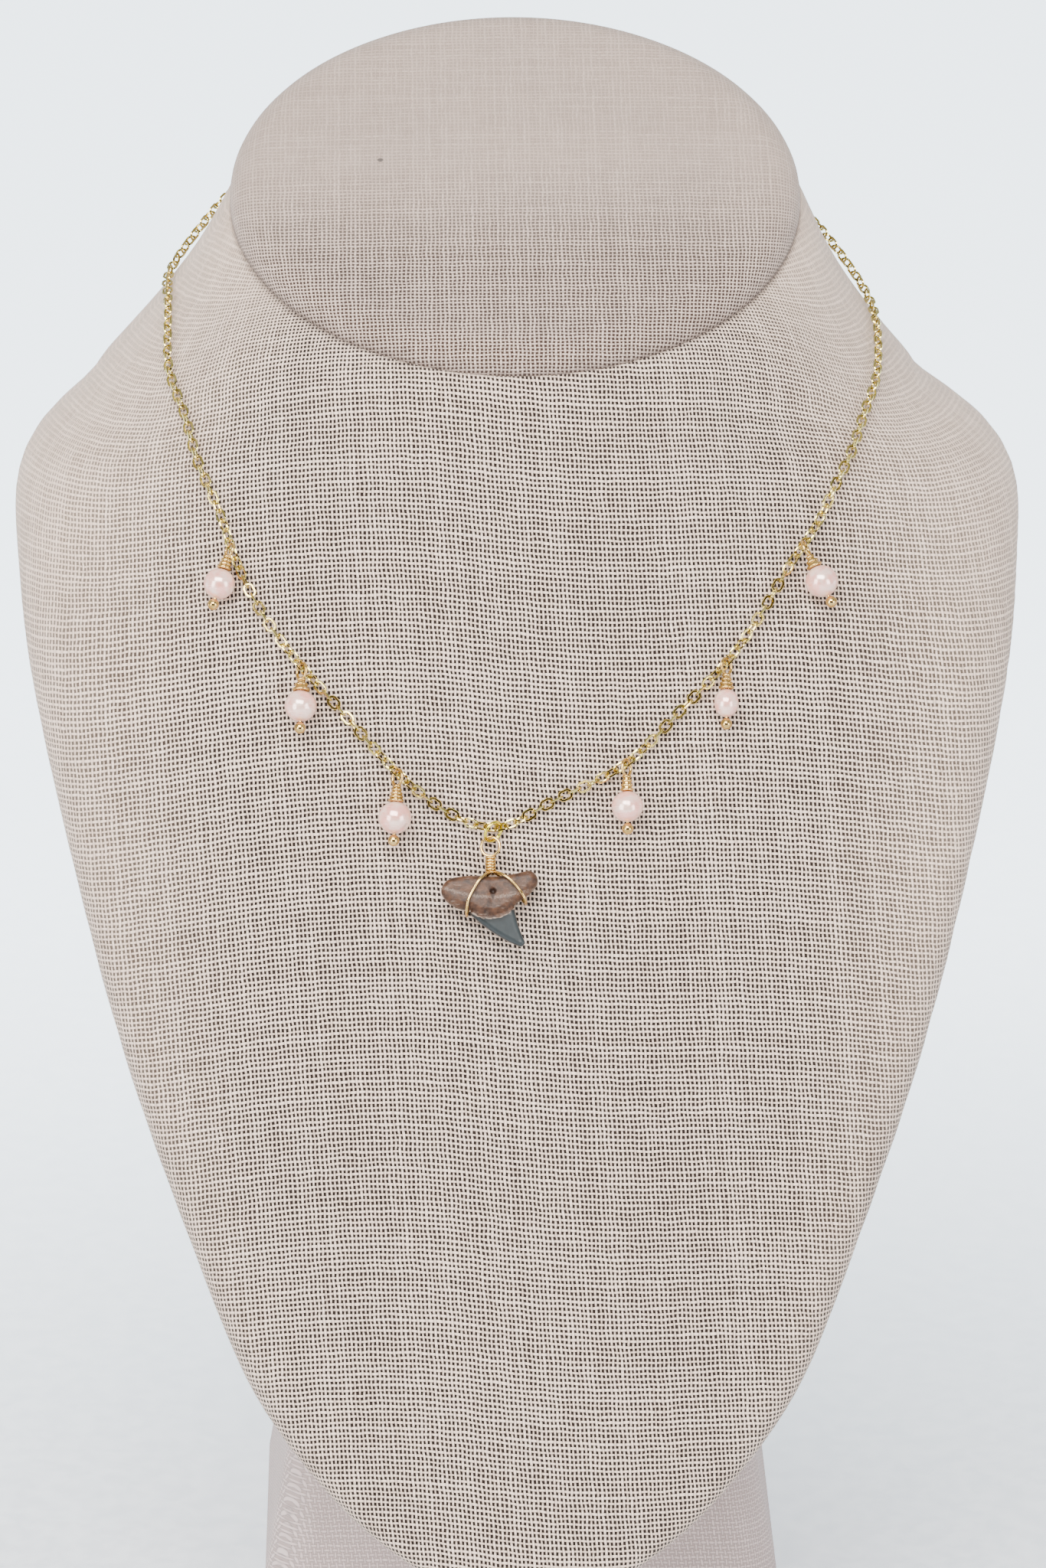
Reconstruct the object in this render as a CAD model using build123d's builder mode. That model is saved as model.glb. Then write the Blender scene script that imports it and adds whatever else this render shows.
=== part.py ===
from build123d import *
import math
import os

os.makedirs("parts", exist_ok=True)

# Shark tooth necklace on a small linen neck bust, in millimetres.
# +Z is up, the chest faces -Y, and the origin is the middle of the foot's underside.

# Least room between the jewellery and the cloth
cloth_gap = 0.2

# Bust form: chest, shoulders and neck in one padded body
shoulder_half = 72.2
form_bottom = 19.5
form_height = 200.5
form_front = -76.5
form_depth = 136.1
neck_axis_share = 0.719

# Slanted cover on the neck
cap_tilt = 22.0
cap_diameter = 82.6
cap_thickness = 5.0
cap_edge_radius = 3.2
cap_seam_height = 183.0
cap_seam_share = 0.437
seam_gap = 0.15

# Pedestal behind the chest
foot_width = 76.0
foot_depth = 56.0
foot_top_width = 50.0
foot_top_depth = 37.0
foot_height = 75.0
foot_corner = 6.0
foot_gap = 0.2

# Cable chain
link_length = 2.2
link_width = 1.64
link_wire = 0.32
link_gap = 0.12
chain_stand_off = 1.0
links_left = 90
links_right = 89
hidden_turn = 110.0
back_stand_off = 2.0

# Clasp behind the neck
clasp_diameter = 5.5
clasp_wire = 1.0
clasp_eye_radius = 1.1
clasp_eye_wire = 0.5
clasp_gap = 0.4

# Ring that carries the pendant
ring_radius = 1.45
ring_wire = 0.46
ring_lean = -50.0
ring_lift = 17.0
hang_gap = 0.15

# Pendant wire
pendant_wire_size = 0.4
pendant_loop_radius = 1.35
pendant_loop_turn = -15.0
coil_length = 2.5
coil_diameter = 1.5
coil_turns = 6

# Shark tooth
tooth_drop = 6.67
root_thickness = 3.0
root_edge_radius = 1.0
blade_thickness = 1.7
blade_edge_radius = 0.6
tooth_gap = 0.15
tooth_clearance = 0.55
pit_diameter = 0.9
pit_depth = 0.5
pit_taper = 25.0
pit_place = (0.3, 0.1)

# Pearl drops
pin_wire = 0.42
pin_ball = 1.64
pearl_gap = 0.11
wrap_pitch = 0.44

# Sections of the bust form, from the chest's lowest point up.
# rise: share of form_height; half, shift and the two corners: shares of shoulder_half;
# front, widest and back: shares of form_depth
chest_sections = [
    # rise, half, shift, front, widest, back, front corner, back corner
    (0.0000, 0.069, 0.000, 0.011, 0.040, 0.085, 0.033, 0.042),
    (0.0095, 0.145, 0.000, 0.000, 0.043, 0.150, 0.055, 0.110),
    (0.0274, 0.233, 0.000, 0.004, 0.051, 0.230, 0.066, 0.180),
    (0.0544, 0.338, 0.000, 0.017, 0.070, 0.350, 0.069, 0.270),
    (0.0873, 0.429, 0.000, 0.035, 0.090, 0.470, 0.069, 0.340),
    (0.1372, 0.532, 0.000, 0.061, 0.118, 0.590, 0.069, 0.390),
    (0.2170, 0.633, 0.000, 0.104, 0.162, 0.690, 0.069, 0.430),
    (0.3367, 0.760, 0.000, 0.168, 0.228, 0.775, 0.069, 0.460),
    (0.5012, 0.891, 0.000, 0.256, 0.323, 0.860, 0.083, 0.480),
    (0.6010, 0.964, 0.000, 0.309, 0.430, 0.905, 0.152, 0.480),
    (0.6758, 1.000, 0.000, 0.350, 0.562, 0.945, 0.249, 0.480),
    (0.7207, 0.989, -0.003, 0.374, 0.621, 0.966, 0.305, 0.457),
    (0.7456, 0.931, -0.011, 0.387, 0.643, 0.977, 0.332, 0.457),
    (0.7805, 0.817, -0.021, 0.408, 0.676, 0.992, 0.374, 0.457),
]
neck_sections = [
    # rise, half, shift, front, widest, back, front corner, back corner
    (0.8254, 0.702, -0.014, 0.431, 0.702, 0.999, 0.416, 0.471),
    (0.8953, 0.583, 0.000, 0.437, 0.719, 1.000, 0.440, 0.475),
    (1.0000, 0.568, 0.000, 0.434, 0.719, 1.000, 0.450, 0.480),
]

# Route of the chain: turn about the neck's axis in degrees, 0 in front and minus to the
# left, and height above the table. It is seated on the form at each point.
chain_route = [
    (-173.0, 201.0), (-158.0, 200.6), (-139.0, 199.4), (-121.0, 197.5),
    (-107.0, 194.8), (-98.0, 191.4), (-90.0, 187.9), (-79.3, 186.4), (-70.4, 183.2),
    (-63.2, 179.2), (-56.9, 174.7), (-52.4, 170.6), (-46.0, 163.4), (-43.7, 159.9),
    (-37.8, 152.1), (-30.9, 145.2), (-25.4, 140.1), (-17.9, 132.6), (-10.0, 126.4),
    (-2.9, 124.4),
    (2.4, 126.9), (7.7, 129.4), (13.8, 132.5), (20.9, 138.5), (29.1, 145.6),
    (35.9, 152.5), (41.7, 158.7), (45.1, 161.9), (49.6, 166.6), (54.4, 170.4),
    (59.6, 173.8), (65.8, 177.0), (71.3, 179.4), (78.4, 181.8), (88.0, 184.3),
    (97.0, 188.8), (112.0, 193.6),
    (123.0, 196.2), (139.0, 199.0), (158.0, 200.6), (173.0, 201.0),
]
route_centre = min(range(len(chain_route)), key=lambda row: chain_route[row][1])

# Roll of the even links about the chain, by link counted from the pendant's
chain_twist = [(-90, 92.0), (-46, 86.0), (-40, 52.0), (0, 52.0), (42, 52.0), (48, 86.0),
               (90, 92.0)]

# Drops: link that carries it, lean in degrees to the right of plumb, radius of the loop's
# wire, reach from the loop's centre to the pearl's, pearl's width and length, widest turn
# of the wrap
drops = [
    # link, lean, loop radius, reach, pearl width, pearl length, wrap radius
    (-40, -18.0, 0.95, 5.1, 4.4, 4.4, 0.80),
    (-26, -2.0, 1.15, 5.1, 4.5, 4.5, 1.05),
    (-12, -4.0, 1.15, 5.7, 4.6, 4.6, 0.90),
    (14, 0.5, 1.15, 5.5, 4.4, 4.4, 0.75),
    (28, -1.0, 1.15, 5.2, 3.4, 4.1, 0.90),
    (42, 26.0, 1.15, 5.1, 4.6, 4.6, 0.95),
]


def two_arc_quarter(half, rise, corner):
    """Radius of the wide arc and the angle where it meets the corner arc."""
    wide = ((half - corner) ** 2 + rise ** 2 - corner ** 2) / (2 * (rise - corner))
    return wide, math.asin((half - corner) / (wide - corner))


def form_section(row, grow=0.0):
    """Draws one level outline of the bust form, grown outwards by a gap."""
    _, half, shift, front, widest, back, front_corner, back_corner = row
    a = half * shoulder_half + grow
    x0 = shift * shoulder_half
    y_front = form_front + front * form_depth - grow
    y_wide = form_front + widest * form_depth
    y_back = form_front + back * form_depth + grow
    ends = []
    for apex, corner, side in ((y_front, front_corner, 1), (y_back, back_corner, -1)):
        rise = abs(y_wide - apex)
        r = min(corner * shoulder_half + grow, 0.95 * rise, 0.95 * a)
        wide, turn = two_arc_quarter(a, rise, r)
        middle = (turn + math.pi / 2) / 2
        meet = (wide * math.sin(turn), apex + side * wide * (1 - math.cos(turn)))
        bend = (a - r + r * math.sin(middle), y_wide - side * r * math.cos(middle))
        ends.append((apex, meet, bend))
    (front_apex, front_meet, front_bend), (back_apex, back_meet, back_bend) = ends
    right, left = (x0 + a, y_wide), (x0 - a, y_wide)
    ThreePointArc((x0 - front_meet[0], front_meet[1]), (x0, front_apex),
                  (x0 + front_meet[0], front_meet[1]))
    ThreePointArc((x0 + front_meet[0], front_meet[1]), (x0 + front_bend[0], front_bend[1]), right)
    ThreePointArc(right, (x0 + back_bend[0], back_bend[1]), (x0 + back_meet[0], back_meet[1]))
    ThreePointArc((x0 + back_meet[0], back_meet[1]), (x0, back_apex),
                  (x0 - back_meet[0], back_meet[1]))
    ThreePointArc((x0 - back_meet[0], back_meet[1]), (x0 - back_bend[0], back_bend[1]), left)
    ThreePointArc(left, (x0 - front_bend[0], front_bend[1]), (x0 - front_meet[0], front_meet[1]))


cap_lean = math.radians(cap_tilt)
cap_seat = Plane(
    origin=(0, form_front + cap_seam_share * form_depth, cap_seam_height),
    x_dir=(1, 0, 0),
    z_dir=(0, -math.sin(cap_lean), math.cos(cap_lean)),
)

# Bust form: one loft up to the shoulders' tops and one for the neck
with BuildPart() as bust_form:
    for rows in (chest_sections, chest_sections[-1:] + neck_sections):
        for row in rows:
            with BuildSketch(Plane.XY.offset(form_bottom + row[0] * form_height)):
                with BuildLine():
                    form_section(row)
                make_face()
        loft()
    split(bisect_by=cap_seat, keep=Keep.BOTTOM)
bust_form.part.label = "bust_form"

# Form grown by the foot's gap, to shape the pedestal's top
with BuildPart() as form_clearance:
    for row in chest_sections:
        with BuildSketch(Plane.XY.offset(form_bottom - foot_gap + row[0] * form_height)):
            with BuildLine():
                form_section(row, foot_gap)
            make_face()
    loft()

# Padded cover on the neck
with BuildPart() as neck_cap:
    with BuildSketch(cap_seat.offset(seam_gap)):
        with Locations((0, cap_diameter / 2)):
            Circle(cap_diameter / 2)
    extrude(amount=cap_thickness)
    fillet(neck_cap.edges().group_by(Axis(cap_seat.origin, cap_seat.z_dir))[-1],
           radius=cap_edge_radius)
neck_cap.part.label = "neck_cap"

# Pedestal
with BuildPart() as bust_foot:
    for level, width, depth in ((0, foot_width, foot_depth),
                                (foot_height, foot_top_width, foot_top_depth)):
        with BuildSketch(Plane.XY.offset(level)):
            RectangleRounded(width, depth, foot_corner)
    loft()
    add(form_clearance.part, mode=Mode.SUBTRACT)
bust_foot.part.label = "bust_foot"

neck_axis_y = form_front + neck_axis_share * form_depth


def on_form(turn, height):
    """Point and outward normal of the form, seen from the neck's axis."""
    way = Vector(math.sin(math.radians(turn)), -math.cos(math.radians(turn)), 0)
    middle = Vector(0, neck_axis_y, height)
    hits = bust_form.part.find_intersection_points(Axis(middle, way))
    point, normal = max(hits, key=lambda hit: (hit[0] - middle).dot(way))
    return point, normal if normal.dot(way) > 0 else normal * -1


def on_chest(x, height):
    """Point and outward normal of the chest straight behind a front view's point."""
    before = Vector(x, form_front - form_depth, height)
    hits = bust_form.part.find_intersection_points(Axis(before, (0, 1, 0)))
    point, normal = min(hits, key=lambda hit: hit[0].Y)
    return point, normal if normal.Y < 0 else normal * -1


# Centreline of the chain, seated on the form
seated = []
for turn, height in chain_route:
    point, normal = on_form(turn, height)
    seated.append(point + normal * chain_stand_off)
with BuildLine() as chain_line:
    Spline(*seated)
path = chain_line.edges()[0]
centre_share = path.param_at_point(seated[route_centre])
before_centre = path.trim(0, centre_share).length
link_pitch = link_length - 2 * link_wire - link_gap


def even_roll(index):
    """Roll of an even link at a place along the chain, in degrees."""
    for (a, roll_a), (b, roll_b) in zip(chain_twist, chain_twist[1:]):
        if a <= index <= b:
            return roll_a + (roll_b - roll_a) * (index - a) / (b - a)
    return chain_twist[-1][1] if index > 0 else chain_twist[0][1]


def link_plane(index):
    """Plane of a link: X along the chain, Y across the link, Z square to its face."""
    place = before_centre + index * link_pitch
    centre = path.position_at(place, position_mode=PositionMode.LENGTH)
    along = path.tangent_at(place, position_mode=PositionMode.LENGTH).normalized()
    turn = math.degrees(math.atan2(centre.X, neck_axis_y - centre.Y))
    normal = on_form(turn, centre.Z)[1]
    outward = (normal - along * normal.dot(along)).normalized()
    downhill = along.cross(outward)
    roll = math.radians(even_roll(index) + (90 if index % 2 else 0))
    across = downhill * math.cos(roll) + outward * math.sin(roll)
    return Plane(origin=centre, x_dir=along, z_dir=along.cross(across))


# One link, lying in XY with its length along X
link_bow = (link_width - link_wire) / 2
link_straight = link_length - link_width
with BuildPart() as link:
    with BuildLine():
        side = Line((-link_straight / 2, -link_bow), (link_straight / 2, -link_bow))
        ThreePointArc(side @ 1, (link_straight / 2 + link_bow, 0), (link_straight / 2, link_bow))
        Line((link_straight / 2, link_bow), (-link_straight / 2, link_bow))
        ThreePointArc((-link_straight / 2, link_bow), (-link_straight / 2 - link_bow, 0), side @ 0)
    with BuildSketch(Plane(origin=side @ 0, z_dir=side % 0)):
        Circle(link_wire / 2)
    sweep()

link_planes = {index: link_plane(index) for index in range(-links_left, links_right + 1)}
with BuildPart() as chain_front:
    with Locations(*[Location(plane) for plane in link_planes.values()]):
        add(link.part)
chain_front.part.label = "chain_front"


def bend_radii(points):
    """Largest tangent arc at each corner of a path, from its two runs and its turn."""
    radii = []
    for before, corner, after in zip(points, points[1:], points[2:]):
        run_in, run_out = corner - before, after - corner
        half_turn = math.radians(run_in.get_angle(run_out)) / 2
        radii.append(0.45 * min(run_in.length, run_out.length) / math.tan(half_turn))
    return radii


def back_chain(side, last_index, last_way):
    """Tube for the hidden stretch on one side, from the clasp to the last link."""
    stretch = [row for row in chain_route if side * row[0] > hidden_turn]
    stretch.sort(key=lambda row: -abs(row[0]))
    points = []
    for turn, height in stretch:
        point, normal = on_form(turn, height)
        points.append(point + normal * back_stand_off)
    end = link_planes[last_index]
    points.append(end.origin + end.x_dir * last_way * (link_length / 2 + 2 * link_gap))
    with BuildPart() as tube:
        with BuildLine() as line:
            FilletPolyline(*points, radius=bend_radii(points))
        with BuildSketch(Plane(origin=line.wires()[0] @ 0, z_dir=line.wires()[0] % 0)):
            Circle(link_width / 2)
        sweep()
    length = line.wires()[0].length
    share = tube.part.volume / (math.pi * link_width ** 2 / 4 * length)
    radii = [round(r, 1) for r in bend_radii(points)]
    print("hidden stretch", round(length, 2), "volume share", round(share, 4), "radii", radii)
    return tube


# Hidden stretches behind the neck
chain_back_left = back_chain(-1, -links_left, -1)
chain_back_left.part.label = "chain_back_left"
chain_back_right = back_chain(1, links_right, 1)
chain_back_right.part.label = "chain_back_right"

# Spring ring clasp with an eye at each side
back_point, back_normal = on_form(180, chain_route[0][1])
clasp_radius = (clasp_diameter - clasp_wire) / 2
clasp_plane = Plane(
    origin=back_point + back_normal * (clasp_wire / 2 + clasp_gap),
    x_dir=(1, 0, 0),
    z_dir=back_normal,
)
with BuildPart(clasp_plane) as clasp:
    Torus(clasp_radius, clasp_wire / 2)
    with Locations((clasp_diameter / 2 + clasp_eye_radius / 2, 0),
                   (-clasp_diameter / 2 - clasp_eye_radius / 2, 0)):
        Torus(clasp_eye_radius - clasp_eye_wire / 2, clasp_eye_wire / 2)
clasp.part.label = "clasp"


def rest_on_chest(point, clearance):
    """Moves a point back or forth until it is clear of the chest by the given amount."""
    seat, normal = on_chest(point.X, point.Z)
    return Vector(point.X, seat.Y - clearance / abs(normal.Y), point.Z), normal


def hang(plane, way, loop_radius):
    """Centre of a ring that passes square through a link and hangs a given way."""
    across = (way - plane.z_dir * way.dot(plane.z_dir)).normalized()
    return plane.origin + across * loop_radius


def plumb(lean, lift=0.0):
    """Way down the chest, leant to the right and lifted off the cloth, in degrees."""
    lean, lift = math.radians(lean), math.radians(lift)
    _, normal = on_chest(0, pendant_link.origin.Z)
    down = (Vector(0, 0, -1) + normal * normal.Z).normalized()
    flat = down * math.cos(lean) + Vector(1, 0, 0) * math.sin(lean)
    return flat * math.cos(lift) + normal * math.sin(lift)


pendant_link = link_planes[0]

# Jump ring through the middle link
ring_way = plumb(ring_lean, ring_lift)
ring_axis = pendant_link.z_dir.cross(ring_way).normalized()
ring_centre = hang(pendant_link, ring_way, ring_radius)
ring_plane = Plane(origin=ring_centre, z_dir=ring_axis)
with BuildPart(ring_plane) as jump_ring:
    Torus(ring_radius, ring_wire / 2)
jump_ring.part.label = "jump_ring"

# The pendant hangs from the jump ring's lowest point and lies on the chest
down_chest = plumb(0)
ring_low = (down_chest - ring_axis * down_chest.dot(ring_axis)).normalized()
hook = ring_centre + ring_low * ring_radius
hang_step = (ring_wire + pendant_wire_size) / 2 + hang_gap
loop_drop = pendant_loop_radius - hang_step
tooth_lift = root_thickness / 2 + pendant_wire_size + 2 * tooth_gap + tooth_clearance
tooth_centre, tooth_normal = rest_on_chest(hook + down_chest * (loop_drop + tooth_drop), tooth_lift)
pendant_down = (tooth_centre - hook).normalized()
pendant_plane = Plane(
    origin=hook + pendant_down * loop_drop,
    x_dir=Vector(1, 0, 0) - pendant_down * pendant_down.X,
    z_dir=tooth_normal - pendant_down * tooth_normal.dot(pendant_down),
)

loop_turn = math.radians(pendant_loop_turn)
loop_plane = Plane(
    origin=pendant_plane.origin,
    x_dir=pendant_plane.y_dir,
    z_dir=pendant_plane.z_dir * math.cos(loop_turn) + pendant_plane.x_dir * math.sin(loop_turn),
)

# Legs of the pendant wire: right, up and out from the loop's centre
leg_left = [
    (0.15, -3.70, 0.30), (-0.60, -4.10, 1.35), (-1.60, -5.00, 2.05), (-2.70, -6.80, 1.90),
    (-3.25, -8.00, 1.95), (-3.40, -9.25, 1.70), (-3.40, -9.85, 0.60),
    (-3.40, -9.85, -0.60), (-3.35, -9.25, -1.85), (-2.75, -7.30, -1.95),
    (-1.50, -5.00, -1.92), (-0.55, -4.00, -1.35), (0.10, -3.60, -0.30),
]
leg_right = [
    (0.35, -3.70, 0.30), (1.20, -4.00, 1.40), (2.40, -4.75, 2.05), (3.60, -5.95, 1.95),
    (4.35, -7.00, 1.90), (4.80, -7.85, 1.50), (4.90, -8.20, 0.55),
    (4.90, -8.20, -0.55), (4.65, -7.65, -1.75), (3.60, -6.10, -1.95),
    (2.30, -4.70, -1.92), (1.10, -3.85, -1.35), (0.30, -3.60, -0.30),
]

# Pendant wire: loop, coil and the two legs round the tooth
coil_top = -(pendant_loop_radius + pendant_wire_size / 4)
coil_radius = (coil_diameter - pendant_wire_size) / 2
with BuildPart(loop_plane) as pendant_wire:
    Torus(pendant_loop_radius, pendant_wire_size / 2)
    with BuildSketch(Plane(origin=pendant_plane.origin, x_dir=pendant_plane.x_dir,
                           z_dir=pendant_plane.z_dir)):
        with Locations((coil_radius / 2, coil_top - coil_length / 2)):
            Rectangle(coil_radius, coil_length)
        step = coil_length / coil_turns
        with Locations(*[(coil_radius, coil_top - step * (turn + 0.5)) for turn in range(coil_turns)]):
            Circle(step / 2 + 0.01)
    revolve(axis=Axis(pendant_plane.origin, pendant_plane.y_dir))
    for leg in (leg_left, leg_right):
        points = [pendant_plane.from_local_coords(Vector(point)) for point in leg]
        with BuildLine() as leg_line:
            FilletPolyline(*points, radius=bend_radii(points))
        with BuildSketch(Plane(origin=leg_line.wires()[0] @ 0, z_dir=leg_line.wires()[0] % 0)):
            Circle(pendant_wire_size / 2)
        sweep()
pendant_wire.part.label = "pendant_wire"

# Shark tooth, drawn in XY about a point in the root's middle, its front up
with BuildPart() as tooth_root:
    with BuildSketch() as root_outline:
        with BuildLine():
            ThreePointArc((-7.0, 0.1), (-6.5, 1.4), (-5.3, 2.15))
            ThreePointArc((-5.3, 2.15), (-2.5, 2.4), (0.3, 2.2))
            ThreePointArc((0.3, 2.2), (2.8, 2.55), (5.2, 3.05))
            ThreePointArc((5.2, 3.05), (6.5, 2.2), (6.1, 0.6))
            ThreePointArc((6.1, 0.6), (5.0, -0.45), (3.76, -1.25))
            ThreePointArc((3.76, -1.25), (0.6, -3.15), (-2.9, -2.3))
            ThreePointArc((-2.9, -2.3), (-5.6, -1.55), (-7.0, 0.1))
        make_face()
        fillet(root_outline.vertices(), radius=root_edge_radius)
    extrude(amount=root_thickness / 2, both=True)
    rims = tooth_root.edges().group_by(Axis.Z)
    fillet(rims[0] + rims[-1], radius=root_edge_radius)
with BuildPart() as tooth_blade:
    with BuildSketch():
        with BuildLine():
            Line((-2.5, -1.0), (3.2, -1.0))
            ThreePointArc((3.2, -1.0), (3.62, -3.9), (4.75, -7.0))
            ThreePointArc((4.75, -7.0), (4.45, -7.5), (3.9, -7.6))
            ThreePointArc((3.9, -7.6), (0.62, -5.85), (-2.9, -3.0))
            Line((-2.9, -3.0), (-2.5, -1.0))
        make_face()
    extrude(amount=blade_thickness / 2, both=True)
    rims = tooth_blade.edges().group_by(Axis.Z)
    fillet(rims[0] + rims[-1], radius=blade_edge_radius)
with BuildPart() as whole_tooth:
    add(tooth_root.part)
    add(tooth_blade.part)
    with BuildSketch(Plane.XY.offset(root_thickness / 2)):
        with Locations(pit_place):
            Circle(pit_diameter / 2)
    extrude(amount=-pit_depth, taper=pit_taper, mode=Mode.SUBTRACT)

# The tooth in its place on the chest
tooth_plane = Plane(
    origin=pendant_plane.from_local_coords(Vector(0, -tooth_drop, 0)),
    x_dir=pendant_plane.x_dir,
    z_dir=pendant_plane.z_dir,
)
with BuildPart() as shark_tooth:
    with Locations(Location(tooth_plane)):
        add(whole_tooth.part)
shark_tooth.part.label = "shark_tooth"


def drop_plane(link_index, lean, loop_radius, reach, width):
    """Plane of a drop at its loop's centre: Z down the pin and X square to the loop."""
    plane = link_planes[link_index]
    way = plumb(lean)
    for _ in range(4):
        centre = hang(plane, way, loop_radius)
        seat, _ = rest_on_chest(centre + way * reach, width / 2 + cloth_gap)
        way = (seat - centre).normalized()
    return Plane(origin=centre, x_dir=plane.z_dir.cross(way), z_dir=way)


def drop_pin(plane, loop_radius, reach, width, length, wrap_radius):
    """Ball-headed pin: loop, flared wrap, shank through the pearl and ball."""
    wrap_top = loop_radius + pin_wire / 4
    core_end = reach - length / 2 - pearl_gap
    crown = math.sqrt((width / 2 + pearl_gap + pin_wire / 2) ** 2 - wrap_radius ** 2)
    last = reach - crown * length / width
    turns = max(round((last - wrap_top) / wrap_pitch), 2)
    ball_at = reach + length / 2 + pearl_gap + pin_ball / 2
    side = Plane(origin=plane.origin, x_dir=plane.x_dir, z_dir=plane.y_dir * -1)
    with BuildPart(Plane(origin=plane.origin, z_dir=plane.x_dir)) as pin:
        Torus(loop_radius, pin_wire / 2)
        with BuildSketch(side):
            with BuildLine():
                Polyline((0, wrap_top), (pin_wire, wrap_top), (wrap_radius, last), (0, core_end),
                         (0, wrap_top))
            make_face()
            for turn in range(turns):
                share = turn / (turns - 1)
                with Locations((pin_wire + (wrap_radius - pin_wire) * share,
                                wrap_top + (last - wrap_top) * share)):
                    Circle(pin_wire / 2)
            with Locations((pin_wire / 4, (wrap_top + ball_at) / 2)):
                Rectangle(pin_wire / 2, ball_at - wrap_top)
            with Locations((0, ball_at)):
                Circle(pin_ball / 2)
            with Locations((-pin_ball, ball_at)):
                Rectangle(2 * pin_ball, 2 * pin_ball, mode=Mode.SUBTRACT)
        revolve(axis=Axis(plane.origin, plane.z_dir))
    return pin


def drop_pearl(plane, reach, width, length):
    """Drilled pearl, round or egg-shaped, on its pin's shank."""
    side = Plane(origin=plane.origin, x_dir=plane.x_dir, z_dir=plane.y_dir * -1)
    with BuildPart() as pearl:
        with BuildSketch(side):
            with Locations((0, reach)):
                Ellipse(width / 2, length / 2)
            with Locations((-width, reach)):
                Rectangle(2 * (width + pin_wire / 2 + pearl_gap), 2 * length, mode=Mode.SUBTRACT)
        revolve(axis=Axis(plane.origin, plane.z_dir))
    return pearl


# Six pearl drops
drop_parts = []
for number, drop in enumerate(drops, start=1):
    index, lean, loop_radius, reach, width, length, wrap_radius = drop
    plane = drop_plane(index, lean, loop_radius, reach, width)
    pin = drop_pin(plane, loop_radius, reach, width, length, wrap_radius)
    pin.part.label = f"drop_pin_{number}"
    pearl = drop_pearl(plane, reach, width, length)
    pearl.part.label = f"pearl_{number}"
    drop_parts += [pin, pearl]

whole = [bust_form, neck_cap, bust_foot, chain_front, chain_back_left, chain_back_right, clasp,
         jump_ring, pendant_wire, shark_tooth, *drop_parts]
for piece in whole:
    export_step(piece.part, f"parts/{piece.part.label}.step")
print("links", len(link_planes), "pitch", round(link_pitch, 3))
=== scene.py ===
import logging
import math
from dataclasses import dataclass
from enum import Enum
from functools import reduce

import bpy
import numpy as np
from mathutils import Matrix, Vector, noise
from mathutils.bvhtree import BVHTree


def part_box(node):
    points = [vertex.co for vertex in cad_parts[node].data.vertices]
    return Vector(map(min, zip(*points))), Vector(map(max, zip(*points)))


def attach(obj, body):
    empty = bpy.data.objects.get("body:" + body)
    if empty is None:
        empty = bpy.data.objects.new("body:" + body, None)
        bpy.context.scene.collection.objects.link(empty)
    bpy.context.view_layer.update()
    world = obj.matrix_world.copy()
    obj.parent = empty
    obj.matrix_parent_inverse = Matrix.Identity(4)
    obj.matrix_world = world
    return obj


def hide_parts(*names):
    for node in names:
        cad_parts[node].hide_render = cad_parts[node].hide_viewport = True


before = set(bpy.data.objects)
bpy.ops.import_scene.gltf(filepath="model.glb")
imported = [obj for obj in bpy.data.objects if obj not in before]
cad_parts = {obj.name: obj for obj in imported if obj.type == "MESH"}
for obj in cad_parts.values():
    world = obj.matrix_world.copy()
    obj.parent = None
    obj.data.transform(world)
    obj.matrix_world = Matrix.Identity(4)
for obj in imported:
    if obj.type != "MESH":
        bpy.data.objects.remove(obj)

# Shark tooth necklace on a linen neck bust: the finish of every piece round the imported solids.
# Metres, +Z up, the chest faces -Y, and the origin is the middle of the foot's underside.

LOG = logging.getLogger("necklace")
MM = 0.001
BODY = "root"
PHOTO_HEIGHT = 2048
CAP_TILT = math.radians(22.0)
NECK_Y = 21.4 * MM
Pair = tuple[float, float]
Triple = tuple[float, float, float]
Material = bpy.types.Material
Object = bpy.types.Object
Socket = bpy.types.NodeSocket


class Slot(Enum):
    """Material slots of the record."""

    LINEN = "linen"
    LINEN_SHADE = "linen_shade"
    CHAIN_GOLD = "chain_gold"
    RING_GOLD = "ring_gold"
    WIRE_GOLD = "wire_gold"
    TOOTH = "fossil_tooth"
    PEARL = "pink_pearl"


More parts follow.
